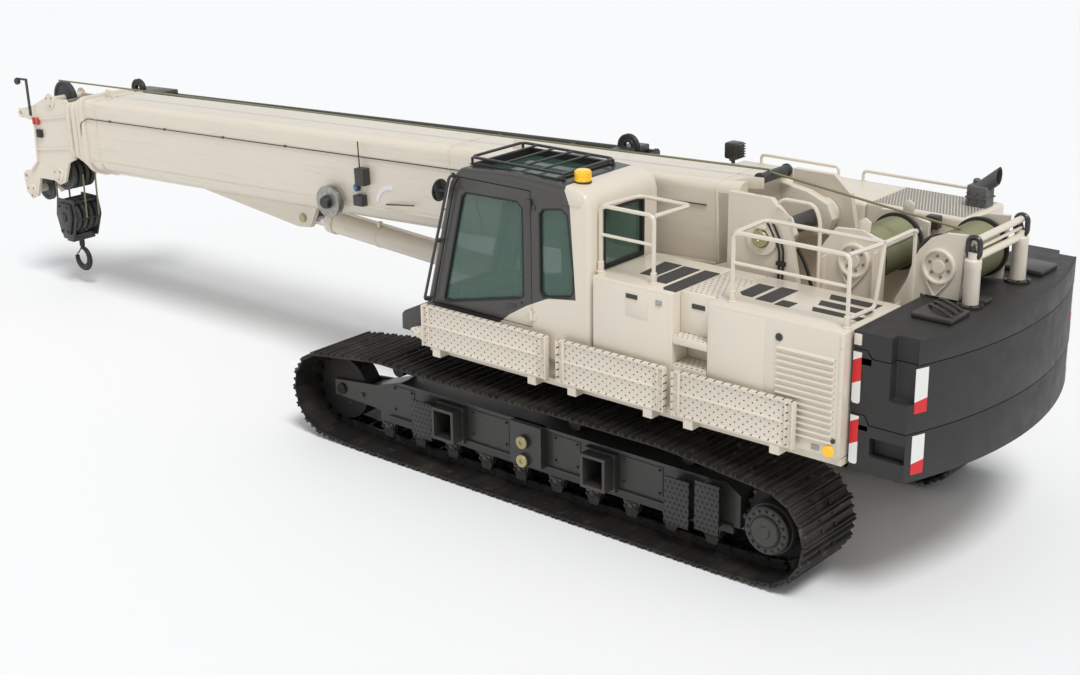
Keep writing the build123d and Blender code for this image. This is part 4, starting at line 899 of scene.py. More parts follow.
cab_plastic = mottled("dark_cab_plastic", tint(50, 50, 50), tint(66, 66, 65), (60, 5),
    (400, 3, 0.0006, 0.5), 0.55)
inside = [
    bevelled(block("pedestal", (-0.2, 0.79, 1.3), (0.12, 1.08, 1.585)), 0.02),
    bevelled(block("left_console", (-0.2, 1.19, 1.32), (0.24, 1.27, 1.84)), 0.025),
    bevelled(block("right_console", (-0.2, 0.6, 1.32), (0.24, 0.68, 1.84)), 0.025),
    bevelled(block("dash", (0.62, 0.6, 1.3), (0.86, 1.24, 1.62)), 0.04),
    moved(bevelled(block("screen_case", (-0.02, -0.12, -0.1), (0.02, 0.12, 0.1)), 0.01),
        Matrix.Translation((0.62, 0.68, 1.95)) @ Matrix.Rotation(radians(-12), 4, "Y")),
    tube("screen_stalk", [(0.66, 0.68, 1.6), (0.63, 0.68, 1.9)], 0.014, 0),
    tube("column", [(0.52, 0.935, 1.31), (0.44, 0.935, 1.75)], 0.018, 0),
]
for y in (0.64, 1.23):
    inside.append(tube("lever", [(0.17, y, 1.83), (0.19, y, 1.98)], 0.008, 0))
    inside.append(lathe("grip", [(0, 1.97), (0.016, 1.975), (0.021, 2.01), (0.018, 2.06), (0, 2.075)],
        (0.19, y, 0), "z", 16))
for y in (0.8, 0.88, 0.99, 1.07):
    inside.append(tube("pedal_rod", [(0.6, y, 1.31), (0.52, y, 1.48)], 0.007, 0))
    inside.append(bevelled(block("pedal", (0.47, y - 0.03, 1.47), (0.53, y + 0.03, 1.485)), 0.004))
finish(joined("cab_inside", inside), cab_plastic, "upper")

# Deck housings: sheet-steel cabinets painted cream, edges rounded, doors set in with narrow gaps.
# The left ones carry black anti-slip strips on top; the rear one breathes through louvres.
FACE_Y, INNER_Y, DECK_Z, HOUSING_TOP = 1.378, 0.602, 1.112, 2.038
DOOR_SHEET = (1.374, 1.3835)
front_box = block("front_cabinet", (-1.378, INNER_Y, DECK_Z), (-0.642, FACE_Y, HOUSING_TOP))
front_box = bevelled(front_box, 0.014, 3)
trims = [bevelled(plate("door", rect(-1.345, 1.15, -0.66, 2.005), *DOOR_SHEET), 0.004, 2),
    bevelled(plate("hatch", rect(-1.163, 1.794, -0.961, 1.966), 1.383, 1.3865), 0.003)]
front_box = joined("front_cabinet", [front_box] + trims)
finish(front_box, cream, "upper")
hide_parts("front_housing")
patch = bevelled(plate("grey_catch", rect(-1.288, 1.925, -1.234, 1.965), 1.383, 1.39), 0.006)
grey_parts = mottled("zinc_grey_fittings", tint(150, 148, 142), tint(176, 174, 168), (25, 5),
    (200, 3, 0.0004, 0.5), 0.4, 0.6, mix=(0.35, 0.7))
finish(patch, grey_parts, "upper")

rear_box = block("rear_cabinet", (-2.798, INNER_Y, DECK_Z), (-1.682, FACE_Y, HOUSING_TOP))
rear_box = bevelled(rear_box, 0.014, 3)
louvre_tops = [1.843 - number * 0.0465 for number in range(14)]
LOUVRE_REAR, LOUVRE_FRONT = -2.735, -2.272
slots = []
for high in louvre_tops:
    slot = plate("slot", rect(LOUVRE_REAR, high - 0.02, LOUVRE_FRONT, high), 1.345, 1.4)
    slots.append(bevelled(slot, 0.004, 1))
cut_by(rear_box, joined("slots", slots))
panels = [bevelled(plate("door", rect(-2.168, 1.15, -1.71, 2.005), *DOOR_SHEET), 0.004),
    bevelled(plate("rear_corner", rect(-2.803, 1.14, -2.768, 2.015), *DOOR_SHEET), 0.004)]
for high in louvre_tops:
    section = [(FACE_Y, high + 0.001), (1.394, high - 0.016), (1.394, high - 0.019), (1.376, high - 0.003)]
    panels.append(plate("hood", section, LOUVRE_REAR, LOUVRE_FRONT, "x"))
for z in (1.3, 1.62, 1.94):
    panels.append(lathe("rivet", [(0, 1.38), (0.012, 1.38), (0.009, 1.388), (0, 1.39)], (-2.786, 0, z), "y",
        12))
rear_box = joined("rear_cabinet", [rear_box] + panels)
finish(rear_box, cream, "upper")
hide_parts("rear_housing")
# A black sheet at the bottom of the louvre slots is painted shade: it stands for the dark inside of the
# cabinet.
louvre_shade_sheet = plate("louvre_painted_shade", rect(-2.74, 1.2, -2.265, 1.86), 1.343, 1.347)
finish(louvre_shade_sheet, satin_black, "upper")
dark_fittings = [
    lathe("lock", button(0.028, 1.38, 1.386, 0.022, 1.39), (-2.286, 0, 1.904), "y", 24),
    lathe("plug", [(0, 1.38), (0.018, 1.38), (0.018, 1.386), (0, 1.387)], (-2.746, 0, 1.245), "y", 20),
    bevelled(plate("handle", rect(-1.07, 1.93, -0.965, 1.966), 1.386, 1.392), 0.008),
    bevelled(plate("handle", rect(-1.6, 1.925, -1.485, 1.962), 1.283, 1.29), 0.008),
]
finish(joined("cabinet_locks", dark_fittings), satin_black, "upper")
finish(bevelled(plate("grey_plate", rect(-2.64, 1.145, -2.575, 1.185), FACE_Y, 1.384), 0.012, 3),
    grey_parts, "upper")
lamp_lens = lathe("side_lamp_lens", [(0, 1.379), (0.046, 1.379), (0.046, 1.386), (0.041, 1.389),
    (0.038, 1.394), (0, 1.396)], (-2.712, 0, 1.16), "y", 32)
finish(lamp_lens, amber, "upper")

STEP_REAR, STEP_FRONT, UPPER_TREAD, LOWER_TREAD = -1.68, -1.38, 1.722, 1.5
steps = [
    bevelled(block("riser", (STEP_REAR, INNER_Y, UPPER_TREAD), (STEP_FRONT, 1.283, HOUSING_TOP)), 0.01),
    bevelled(block("lower_riser", (STEP_REAR, INNER_Y, LOWER_TREAD), (STEP_FRONT, 1.18, 1.66)), 0.006),
    bevelled(block("foot", (STEP_REAR, INNER_Y, DECK_Z), (STEP_FRONT, FACE_Y, LOWER_TREAD)), 0.01),
    bevelled(block("shelf", (-1.685, 1.0, 1.655), (-1.376, 1.376, UPPER_TREAD)), 0.012),
]
steps = joined("deck_step_box", steps)
finish(steps, cream, "upper")
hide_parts("deck_steps")

grit, shader, spot = surface("black_anti_slip", 0.85)
speckle = grain(spot, 260, 3)
blended(ramp(speckle, 0.4, 0.7), tint(52, 51, 50), tint(84, 82, 80)).feed(shader, "Base Color")
bumped(shader, speckle, 0.0015, 0.9)
strips = []
for outline in (
    [(-0.87, 0.77), (-1.03, 0.77), (-1.03, 1.13), (-0.9, 1.13)],
    [(-1.055, 0.78), (-1.205, 0.78), (-1.205, 1.22), (-1.12, 1.22), (-1.055, 1.12)],
    [(-1.24, 0.77), (-1.375, 0.77), (-1.375, 1.34), (-1.27, 1.34), (-1.24, 1.3)],
    [(-1.74, 0.8), (-1.875, 0.8), (-1.875, 1.1), (-1.79, 1.1), (-1.74, 1.05)],
    rect(-1.915, 0.77, -2.055, 1.12),
    rect(-2.085, 1.02, -2.205, 1.14),
    [(-2.285, 0.7), (-2.7, 0.7), (-2.7, 0.8), (-2.33, 0.8)],
    [(-2.3, 0.86), (-2.72, 0.86), (-2.72, 0.96), (-2.335, 0.96)],
    [(-2.33, 1.02), (-2.74, 1.02), (-2.74, 1.1), (-2.37, 1.1)],
):
    strips.append(plate("strip", outline, 2.037, 2.0405, "z"))
finish(joined("anti_slip_strips", strips), grit, "upper")
tread, shader, spot = surface("holed_tread_cream", 0.45)
dots = hole_rows(spot, 0.045, 0.007, 1)
# The holes are painted a darker grey than the cream: painted shade in the openings.
blended(dots, tint(222, 214, 200), tint(120, 114, 104)).feed(shader, "Base Color")
bumped(shader, 1 - dots, 0.003, 0.8)
tread_plates = []
for name, outline, low, high in (
    ("patch", rect(-1.7, 0.78, -1.41, 1.25), 2.036, 2.0405),
    ("tread", rect(-1.672, 1.19, -1.388, 1.368), 1.719, 1.7245),
    ("tread", rect(-1.672, 1.19, -1.388, 1.372), 1.498, 1.5045),
):
    tread_plates.append(bevelled(plate(name, outline, low, high, "z"), 0.001))
finish(joined("step_treads", tread_plates), tread, "upper")

# Walkways: three steel planks folded up against the side for the road. Each is a pressed sheet
# with a raised rib along its middle, turned edges and rows of punched holes, hung on brackets.
walk_paint, shader, spot = surface("holed_walkway_cream", 0.36, 0.0, 0.2)
dots = hole_rows(spot, 0.072, 0.0058, 2, 0.03)
cloud = ramp(grain(spot, 1.2, 5), 0.35, 0.75)
base = blended(cloud * 0.4, tint(224, 214, 198), tint(208, 197, 178))
# The punched holes are painted dark brown: painted shade seen through them.
blended(dots, base, tint(92, 84, 74)).feed(shader, "Base Color")
(0.36 + cloud * 0.1 + grain(spot, 30, 3) * 0.06).feed(shader, "Roughness")
bumped(shader, 1 - dots, 0.003, 0.7)
for name, rear, front in (("front", -0.245, 1.07), ("middle", -1.365, -0.345), ("rear", -2.47, -1.43)):
    section = [(1.412, 1.132), (1.452, 1.132), (1.452, 1.152), (1.443, 1.16), (1.443, 1.298), (1.45, 1.306),
        (1.45, 1.32), (1.44, 1.33), (1.44, 1.456), (1.45, 1.466), (1.45, 1.486), (1.412, 1.486)]
    piece = [bevelled(plate("sheet", section, rear + 0.01, front - 0.01, "x"), 0.003, 2, 30)]
    for part, across, x, thick in (
        ("end", rect(1.411, 1.13, 1.462, 1.48), rear, 0.016),
        ("end", rect(1.411, 1.13, 1.462, 1.48), front - 0.016, 0.016),
        ("stiffener", rect(1.44, 1.15, 1.457, 1.47), rear + 0.055, 0.022),
        ("stiffener", rect(1.44, 1.15, 1.457, 1.47), front - 0.075, 0.022),
    ):
        piece.append(bevelled(plate(part, across, x, x + thick, "x"), 0.004))
    if name == "front":
        piece.append(bevelled(plate("wing", [(1.062, 1.3), (1.205, 1.25), (1.215, 1.24), (1.215, 1.22),
            (1.205, 1.21), (1.09, 1.165), (1.062, 1.165)], 1.416, 1.44), 0.005))
    walkway = joined(name + "_walkway", piece)
    finish(walkway, walk_paint, name + "_step")
    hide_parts("walkway_" + name)

# Handrails: bent steel tube painted cream, in two closed loops on posts beside the deck; each has
# a lower rail, and a gate loop closes the rear end.
RAIL_Y, FAR_RAIL_Y, RAIL_FOOT, RAIL_TOP = 1.27, 0.87, 2.04, 2.55
REAR_RAIL_X, INNER_RAIL_Y = -2.785, 0.44
RIGHT_RAIL_Y, ON_HOOD = -1.25, 2.335
rails = []
for first, last, points in (
    (-0.64, -1.13, [(-0.655, 1.265), (-0.7, FAR_RAIL_Y), (-1.17, FAR_RAIL_Y), (-1.135, 1.265)]),
    (-1.82, -2.75, [(-1.835, 1.265), (-1.825, FAR_RAIL_Y), (REAR_RAIL_X, FAR_RAIL_Y), (-2.738, 1.265)]),
):
    loop = [(first, RAIL_FOOT), (first, RAIL_TOP), (last, RAIL_TOP), (last, RAIL_FOOT)]
    rails.append(tube("near_rail", [(x, RAIL_Y, z) for x, z in loop], 0.0165, 0.05))
    rails.append(tube("far_rail", [(x, y, RAIL_TOP) for x, y in points], 0.0165, 0.05))
    rails.append(tube("lower", [(first, RAIL_Y, 2.33), (last, RAIL_Y, 2.33)], 0.0125, 0))
rails.append(tube("cross_rail", [(REAR_RAIL_X, FAR_RAIL_Y, RAIL_TOP),
    (REAR_RAIL_X, INNER_RAIL_Y, RAIL_TOP), (REAR_RAIL_X, INNER_RAIL_Y, 1.41)], 0.0155, 0.05))
rails.append(tube("gate", [(-2.75, RAIL_Y, 2.1), (-2.765, 0.93, 2.1), (REAR_RAIL_X, 0.875, 2.54)],
    0.015, 0.04))
for x in (-0.64, -1.13, -1.82, -2.75):
    rails.append(lathe("socket", [(0, 2.035), (0.034, 2.035), (0.034, 2.046), (0.024, 2.052), (0.024, 2.12),
        (0.016, 2.125), (0, 2.125)], (x, RAIL_Y, 0), "z", 20))
left_rails = joined("left_rails", rails)
finish(left_rails, cream, "upper")
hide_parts("left_handrails")
rails = []
for first, last, high in ((-0.41, -1.17, 2.425), (-1.4, -2.4, 2.43)):
    loop = [(first, ON_HOOD), (first, high), (last, high), (last, ON_HOOD)]
    rails.append(tube("rail", [(x, RIGHT_RAIL_Y, z) for x, z in loop], 0.0135, 0.035))
    for x in (first, last):
        foot = [(0, ON_HOOD), (0.028, ON_HOOD), (0.028, 2.346), (0, 2.348)]
        rails.append(lathe("foot", foot, (x, RIGHT_RAIL_Y, 0), "z", 20))
right_rails = joined("right_rails", rails)
finish(right_rails, cream, "upper")
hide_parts("right_handrails")

# Engine hood: sheet steel over the engine on the right side, with doors, latches and a mesh of
# small holes towards the rear; an exhaust pipe cut on the slant, and a search light on a post.
HOOD_SIDE, HOOD_INNER = -1.298, -0.642
HOLLOW_SIDE, HOLLOW_INNER, HOLLOW_BASE, HOLLOW_TOP = -1.24, -0.672, 1.05, 2.313
hood = bevelled(block("hood_front", (-1.772, HOOD_SIDE, DECK_Z), (-0.202, HOOD_INNER, 2.343)), 0.03, 3)
cut_by(hood, block("under", (-1.8, HOLLOW_SIDE, HOLLOW_BASE), (-0.232, HOLLOW_INNER, HOLLOW_TOP)))
hood_rear = bevelled(block("hood_rear", (-2.648, -1.268, DECK_Z), (-1.77, HOOD_INNER, 2.358)), 0.03, 3)
cut_by(hood_rear, block("under", (-2.618, HOLLOW_SIDE, HOLLOW_BASE), (-1.74, HOLLOW_INNER, HOLLOW_TOP)))
slots = []
for top in [2.28 - number * 0.08 for number in range(12)]:
    slots.append(bevelled(plate("slot", rect(-2.6, top - 0.04, -1.82, top), -1.255, -1.3), 0.004, 1))
cut_by(hood_rear, joined("slots", slots))
hood_doors = []
for rear, front in ((-0.72, -0.24), (-1.24, -0.76), (-1.74, -1.28)):
    hood_doors.append(bevelled(plate("door", rect(rear, 1.18, front, 2.24), -1.2985, -1.29), 0.004))
hood = joined("hood_sheets", [hood, hood_rear] + hood_doors)
finish(hood, cream, "upper")
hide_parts("engine_hood")
mesh_cream, shader, spot = surface("holed_hood_cream", 0.4)
side_dots, top_dots = (hole_rows(spot, 0.026, 0.0085, up) for up in (2, 1))
facing = spot.tree.nodes.new("ShaderNodeNewGeometry")
upwards = axes_of(Signal(spot.tree, facing.outputs["Normal"]))[2] > 0.7
dots = side_dots * (1 - upwards) + top_dots * upwards
# The mesh holes are painted near black: painted shade behind the grille.
blended(dots, tint(214, 206, 192), tint(40, 38, 36)).feed(shader, "Base Color")
bumped(shader, 1 - dots, 0.003, 0.8)
grilles = [
    plate("side_mesh", rect(-2.605, 1.355, -1.815, 2.285), -1.2575, -1.253),
    bevelled(plate("top_mesh", rect(-2.6, -1.23, -1.82, -0.68), 2.356, 2.3595, "z"), 0.001),
    bevelled(plate("rear_mesh", rect(-1.23, 1.25, -0.68, 2.28), -2.65, -2.646, "x"), 0.002),
]
finish(joined("hood_mesh", grilles), mesh_cream, "upper")
latches = []
for x in (-0.3, -0.82, -1.34):
    for z in (1.45, 2.0):
        latches.append(bevelled(plate("latch", rect(x - 0.06, z, x, z + 0.035), -1.2995, -1.294), 0.002))
finish(joined("hood_latches", latches), satin_black, "upper")

pipe_grey = worn_steel("exhaust_grey", tint(112, 112, 112), tint(140, 138, 134), tint(96, 78, 60), 0.5, 0.7)
pipe = lathe("pipe", [(0, 0.0), (0.056, 0.0), (0.056, 0.32), (0.05, 0.32), (0.05, 0.12), (0, 0.12)],
    (0, 0, 0), "z", 36)
pipe = moved(pipe, Matrix.Translation((-2.5, -1.07, 2.468)) @ Matrix.Rotation(radians(-50), 4, "Y"))
cut_by(pipe, block("upright_cut", (-3.0, -1.3, 2.3), (-2.672, -0.9, 2.9)))
stack = [pipe, bevelled(block("box", (-2.612, -1.14, ON_HOOD), (-2.444, -1.0, 2.525)), 0.012, 3),
    bevelled(block("seam", (-2.62, -1.148, 2.425), (-2.436, -0.992, 2.437)), 0.003),
    bevelled(block("base", (-2.626, -1.154, ON_HOOD), (-2.43, -0.986, 2.347)), 0.003),
    lathe("cap", [(0, 2.525), (0.03, 2.525), (0.03, 2.545), (0.02, 2.556), (0, 2.558)], (-2.475, -1.11, 0),
    "z", 24)]
stack += [hexagon_bolt(0.01, 0.01, (x, -0.992, z)) for x in (-2.595, -2.528, -2.461) for z in (2.4, 2.465)]
stack = joined("exhaust_pipe", stack)
finish(stack, pipe_grey, "upper")
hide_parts("exhaust")

dress(worn_steel("engine_iron", tint(70, 72, 72), tint(120, 118, 112), tint(88, 76, 60), 0.5, 0.5),
    "engine")
box_lamp = [bevelled(block("case", (-2.45, -0.625, 2.262), (-2.345, -0.545, 2.365)), 0.012, 3),
    tube("stalk", [(-2.395, -0.6, 2.27), (-2.35, -0.612, 2.216), (-2.309, -0.617, 2.142)], 0.011, 0.03, 12)]
finish(joined("work_lamp", box_lamp), satin_black, "upper")

lamp_case = bevelled(block("case", (-0.365, -1.065, 2.425), (-0.235, -0.935, 2.565)), 0.018, 3)
fins = [block("fin", (-0.38, -1.05, 2.44 + n * 0.022), (-0.36, -0.95, 2.448 + n * 0.022)) for n in range(6)]
stand = [tube("post", [(-0.29, -1.0, 2.34), (-0.29, -1.0, 2.42)], 0.018, 0),
    tube("yoke", [(-0.3, -1.068, 2.5), (-0.3, -1.068, 2.415), (-0.3, -0.932, 2.415), (-0.3, -0.932, 2.5)],
    0.008, 0.02), lathe("foot", [(0, 2.34), (0.045, 2.34), (0.045, 2.35), (0, 2.352)], (-0.29, -1.0, 0),
    "z", 20)]
light = joined("search_light_case", [lamp_case] + fins + stand)
finish(light, satin_black, "upper")
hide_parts("search_light")
lens, shader, spot = surface("clear_lamp_lens", 0.1, 0.0, 0.5)
facets = cells(spot, 60)
blended(facets, tint(226, 230, 232), tint(150, 156, 160)).feed(shader, "Base Color")
bumped(shader, facets, 0.002, 0.5)
finish(bevelled(block("search_light_lens", (-0.2345, -1.048, 2.442), (-0.2305, -0.952, 2.548)), 0.002),
    lens, "upper")

# Counterweight: three cast slabs in dark grey, each stepped down over the one below at its front
# end, with pockets for the lifting pins and red and white warning strips at the corners.
weight_grey, shader, spot = surface("cast_weight_grey", 0.55)
cast = ramp(grain(spot, 7, 6), 0.38, 0.7)
scuffed = ramp(grain(spot, 2.2, 8), 0.6, 0.68)
base = blended(cast * 0.4, tint(36, 35, 34), tint(48, 46, 44))
blended(scuffed * 0.3, base, tint(78, 74, 69)).feed(shader, "Base Color")
(0.5 + cast * 0.12 + scuffed * 0.12).feed(shader, "Roughness")
bumped(shader, grain(spot, 14, 7) + grain(spot, 70, 3) * 0.3, 0.006, 0.3)


def weight_plan(front=-2.822, half=1.298, radius=3.498):
    """Outline of a slab seen from above: straight sides and a rear edge on one arc."""
    reach = atan2(half, (radius ** 2 - half ** 2) ** 0.5)
    arc = [(-radius * cos(reach * n / 14), radius * sin(reach * n / 14)) for n in range(-14, 15)]
    return [(front, -half)] + arc + [(front, half)]


lip_below = 0
for name, low, high, lip in (("lower", 1.03, 1.386, 1.452), ("middle", 1.392, 1.866, 1.918),
        ("upper", 1.872, 2.048, 0)):
    slab = plate("weight_" + name, weight_plan(), low, high, "z")
    if name == "lower":
        cut_by(slab, block("tongue", (-3.1, -0.455, 1.0), (-2.8, 0.455, 1.305)))
    if lip_below:
        cut_by(slab, plate("lip_room", [(-2.8, low - 0.02), (-2.8, lip_below + 0.006),
            (-2.932, lip_below + 0.006), (-2.974, low), (-2.974, low - 0.02)], -1.35, 1.35))
    if lip:
        slab = joined(slab.name, [slab, plate("lip", [(-2.822, high - 0.05), (-2.822, lip), (-2.928, lip),
            (-2.966, high), (-2.966, high - 0.05)], -1.298, 1.298)])
    for sign in (1, -1):
        sides = sorted((sign * 1.21, sign * 1.35))
        for rear, front, foot, top in ((-3.275, -3.11, 1.6, 2.06), (-3.24, -2.98, 1.165, 1.3)):
            if foot < high and top > low:
                cut_by(slab, bevelled(block("pocket", (rear, sides[0], max(foot, low - 0.03)),
                    (front, sides[1], min(top, high + 0.03))), 0.01))
    slab = bevelled(slab, 0.012, 2, 40)
    lip_below = lip
    finish(slab, weight_grey, "upper")
    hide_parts("counterweight_" + name)

# Counterweight fittings: two lifting cylinders with hooks, a hose tray, cream catch and the warning
# strips, which are reflective sheet in red and white.
stripe_red, shader, spot = surface("red_white_warning_strip", 0.3, 0.0, 0.2)
strip_x, _, strip_z = axes_of(spot)
along = (strip_z + (strip_x + 2.89) * 0.5 - 1.254) / 0.446
band = along.sum("FRACT", along + 1) > 0.377
honey = cells(spot, 300)
red = blended(honey * 0.5, tint(220, 12, 16), tint(190, 6, 10))
white = blended(honey * 0.5, tint(236, 236, 232), tint(214, 214, 210))
blended(band, red, white).feed(shader, "Base Color")
(0.28 + honey * 0.1).feed(shader, "Roughness")
strips = []
for sign in (1, -1):
    for low, high in ((1.53, 1.9), (1.085, 1.44)):
        strips.append(plate("strip", [(-2.89, low + 0.012), (-2.878, low), (-2.838, low),
            (-2.826, low + 0.012), (-2.826, high), (-2.89, high)], sign * 1.297, sign * 1.3005))
    for low, high in ((1.53, 1.85), (1.085, 1.37)):
        turns = [radians(turn) for turn in (19.0, 19.6, 20.2, 20.8)]
        inner, outer = ([(-r * cos(turn), sign * r * sin(turn)) for turn in turns] for r in (3.496, 3.4995))
        strips.append(plate("strip", inner + outer[::-1], low, high, "z"))
finish(joined("warning_strips", strips), stripe_red, "upper")
catch = bevelled(block("cream_catch", (-2.886, 1.292, 1.95), (-2.83, 1.31, 2.03)), 0.006)
finish(catch, cream, "upper")

LIFT_X, LIFT_YS = -3.2, (0.37, -0.37)
lifts = []
for y in LIFT_YS:
    lifts.append(lathe("cylinder", [(0, 2.052), (0.058, 2.052), (0.058, 2.32), (0.06, 2.325), (0.06, 2.385),
        (0.05, 2.395), (0.038, 2.395), (0.038, 2.44), (0, 2.44)], (LIFT_X, y, 0), "z", 32))
for z, r in ((2.39, 0.028), (2.52, 0.026), (2.455, 0.012)):
    lifts.append(lathe("cross_bar", rect(0, -0.36, r, 0.36), (LIFT_X, 0, z), "y", 20))
finish(joined("weight_cylinders", lifts), cream, "upper")
hooks = []
for y in LIFT_YS:
    hooks.append(tube("link", [(-3.2, y, 2.402), (-3.244, y, 2.402), (-3.244, y, 2.546), (-3.156, y, 2.546),
        (-3.156, y, 2.402), (-3.201, y, 2.402)], 0.02, 0.04, 16))
    hooks.append(bevelled(plate("hook", [(-3.23, 2.4), (-3.17, 2.4), (-3.18, 2.47), (-3.2, 2.5),
        (-3.214, 2.46)], y - 0.012, y + 0.012), 0.004))
    ring = [(0.06, 2.05), (0.095, 2.05), (0.095, 2.066), (0.062, 2.072)]
    hooks.append(lathe("foot_ring", ring, (LIFT_X, y, 0), "z", 24))
    hooks += bolt_ring(0.01, 0.012, (LIFT_X, y, 2.066), 0.08, 6, "z")
for low, high in (((-3.3, 0.56, 2.048), (-2.99, 0.84, 2.09)), ((-3.28, 0.18, 2.048), (-2.98, 0.3, 2.085)),
        ((-3.3, -0.84, 2.048), (-2.99, -0.56, 2.09))):
    hooks.append(bevelled(block("tray", low, high), 0.012))
for y in (0.62, 0.7, 0.78):
    hooks.append(tube("hose", [(-3.27, y, 2.09), (-3.22, y, 2.115), (-3.06, y - 0.1, 2.115),
        (-2.99, y - 0.2, 2.07)], 0.012, 0.04))
hooks = joined("weight_hooks", hooks)
finish(hooks, satin_black, "upper")
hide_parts("weight_lifts")

# Winches: rope drums between cream side plates. Black flanges, bearing bosses with bolt rings, and
# wire rope laid in neat turns, dulled by grease to olive grey.
rope_olive, shader, spot = surface("greased_wire_rope", 0.5, 0.45)
strand = spot.node("ShaderNodeTexWave", {"bands_direction": "DIAGONAL"},
    {"Vector": spot, "Scale": 45, "Distortion": 1.0})
blended(strand, tint(160, 160, 124), tint(104, 104, 78)).feed(shader, "Base Color")
bumped(shader, strand, 0.002, 0.7)
DRUMS = (("front", -2.26, 2.205), ("rear", -2.935, 2.285))
ROPE_TURNS, ROPE_PITCH, ROPE_START = 26, 0.0205, -0.266
for end, x, z in DRUMS:
    name, body = end + "_drum", end + "_winch"
    turns = []
    for n in range(ROPE_TURNS):
        y = ROPE_START + (n + 0.5) * ROPE_PITCH
        for step, lift in ((-0.42, 0.0), (-0.2, 0.0085), (0.0, 0.0105), (0.2, 0.0085)):
            turns.append((0.188 + lift, y + step * ROPE_PITCH))
    rope = lathe(name + "_rope", [(0.14, -0.267)] + turns + [(0.14, 0.267)], (x, 0, z), "y", 64)
    finish(rope, rope_olive, body, 80)
    ends = [lathe("flange", [(0.14, 0.267), (0.222, 0.267), (0.222, 0.29), (0.205, 0.29), (0.2, 0.282),
        (0.1, 0.282), (0.1, 0.3), (0, 0.3)], (x, 0, z), "y", 64, sign=sign) for sign in (1, -1)]
    ends.append(lathe("shaft", rect(0, -0.35, 0.054, 0.35), (x, 0, z), "y", 32))
    for sign in (1, -1):
        ends += bolt_ring(sign * 0.01, 0.014, (x, sign * 0.282, z), 0.165, 8)
    flanges = joined(name + "_flanges", ends)
    finish(flanges, satin_black, body)
    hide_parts(name)
dress(cream, "winch_frame")
bosses, boss_bolts = [], []
for _, x, z in DRUMS:
    for sign in (1, -1):
        bosses.append(lathe("boss", [(0, 0.352), (0.1, 0.352), (0.107, 0.358), (0.107, 0.372),
            (0.112, 0.376), (0.124, 0.376), (0.13, 0.37), (0.132, 0.349), (0, 0.349)], (x, 0, z), "y", 48,
            sign=sign))
        bosses.append(lathe("hub", button(0.052, 0.35, 0.362, 0.046, 0.368), (x, 0, z), "y", 32, sign=sign))
        for shift in (-1, 1):
            lip = [(x + shift * 0.128, z - 0.02), (x + shift * 0.112, z - 0.07),
                (x + 0.02 + shift * 0.014, z - 0.215), (x + 0.02 + shift * 0.002, z - 0.215),
                (x + shift * 0.098, z - 0.07)]
            bosses.append(plate("lip", lip, sign * 0.349, sign * 0.37))
        boss_bolts += bolt_ring(sign * 0.0095, 0.011, (x, sign * 0.352, z), 0.076, 6, "y", 0.3)
for sign in (1, -1):
    for x, low, high in ((-2.02, 1.45, 2.2), (-2.44, 1.45, 2.3), (-2.64, 1.45, 1.96)):
        bosses.append(plate("rib", rect(x - 0.008, low, x + 0.008, high), sign * 0.35, sign * 0.392))
    bosses.append(plate("foot", rect(-2.5, 1.402, -1.94, 1.425), sign * 0.3, sign * 0.43))
    bosses.append(bevelled(plate("lift_eye", [(-2.36, 2.4), (-2.28, 2.43), (-2.27, 2.5), (-2.32, 2.53),
        (-2.37, 2.5)], sign * 0.312, sign * 0.33), 0.004))
for x, z, r in ((-2.05, 2.1, 0.026), (-2.42, 2.31, 0.024), (-2.7, 2.02, 0.024)):
    bosses.append(lathe("tie", rect(0, -0.312, r, 0.312), (x, 0, z), "y", 20))
finish(joined("winch_bosses", bosses), cream, "upper")
finish(joined("winch_bolts", boss_bolts), steel_bolts, "upper")

# Hoses at the boom's foot: black rubber hoses clipped down the left casing and up from the winches,
# and a cream hoop of bent tube over them.
hoses = [tube("hose", [(-1.6, 0.5, 2.41), (-1.625, 0.5, 2.385), (-1.715, 0.5, 2.225), (-1.705, 0.5, 1.42)],
    0.009, 0.05), tube("hose", [(-1.64, 0.5, 2.43), (-1.665, 0.5, 2.395), (-1.75, 0.5, 2.235),
    (-1.74, 0.5, 1.42)], 0.009, 0.05), tube("hose", [(-1.9, 0.3, 1.42), (-1.9, 0.3, 1.85),
    (-1.78, 0.22, 2.05), (-1.7, 0.22, 2.16)], 0.016, 0.08), tube("hose",
    [(-1.95, -0.3, 1.42), (-1.95, -0.3, 1.85), (-1.8, -0.22, 2.05), (-1.7, -0.22, 2.16)], 0.016, 0.08)]
for z in (1.55, 1.85, 2.1):
    hoses.append(bevelled(block("clip", (-1.765, 0.478, z), (-1.69, 0.512, z + 0.03)), 0.004))
finish(joined("foot_hoses", hoses), rubber, "upper")
hoop = [(-1.7, 2.57), (-1.715, 2.612), (-2.0, 2.612), (-2.052, 2.5), (-2.055, 1.4)]
finish(tube("foot_hoop", [(x, 0.5, z) for x, z in hoop], 0.015, 0.05), cream, "upper")

# Boom: four box sections of bent high-strength plate, one inside the other, welded along the side
# and painted cream. Each ends in a welded collar that guides the next.
boom_turn = Matrix.Translation(FOOT_PIN) @ Matrix.Rotation(radians(2.5), 4, "Y")


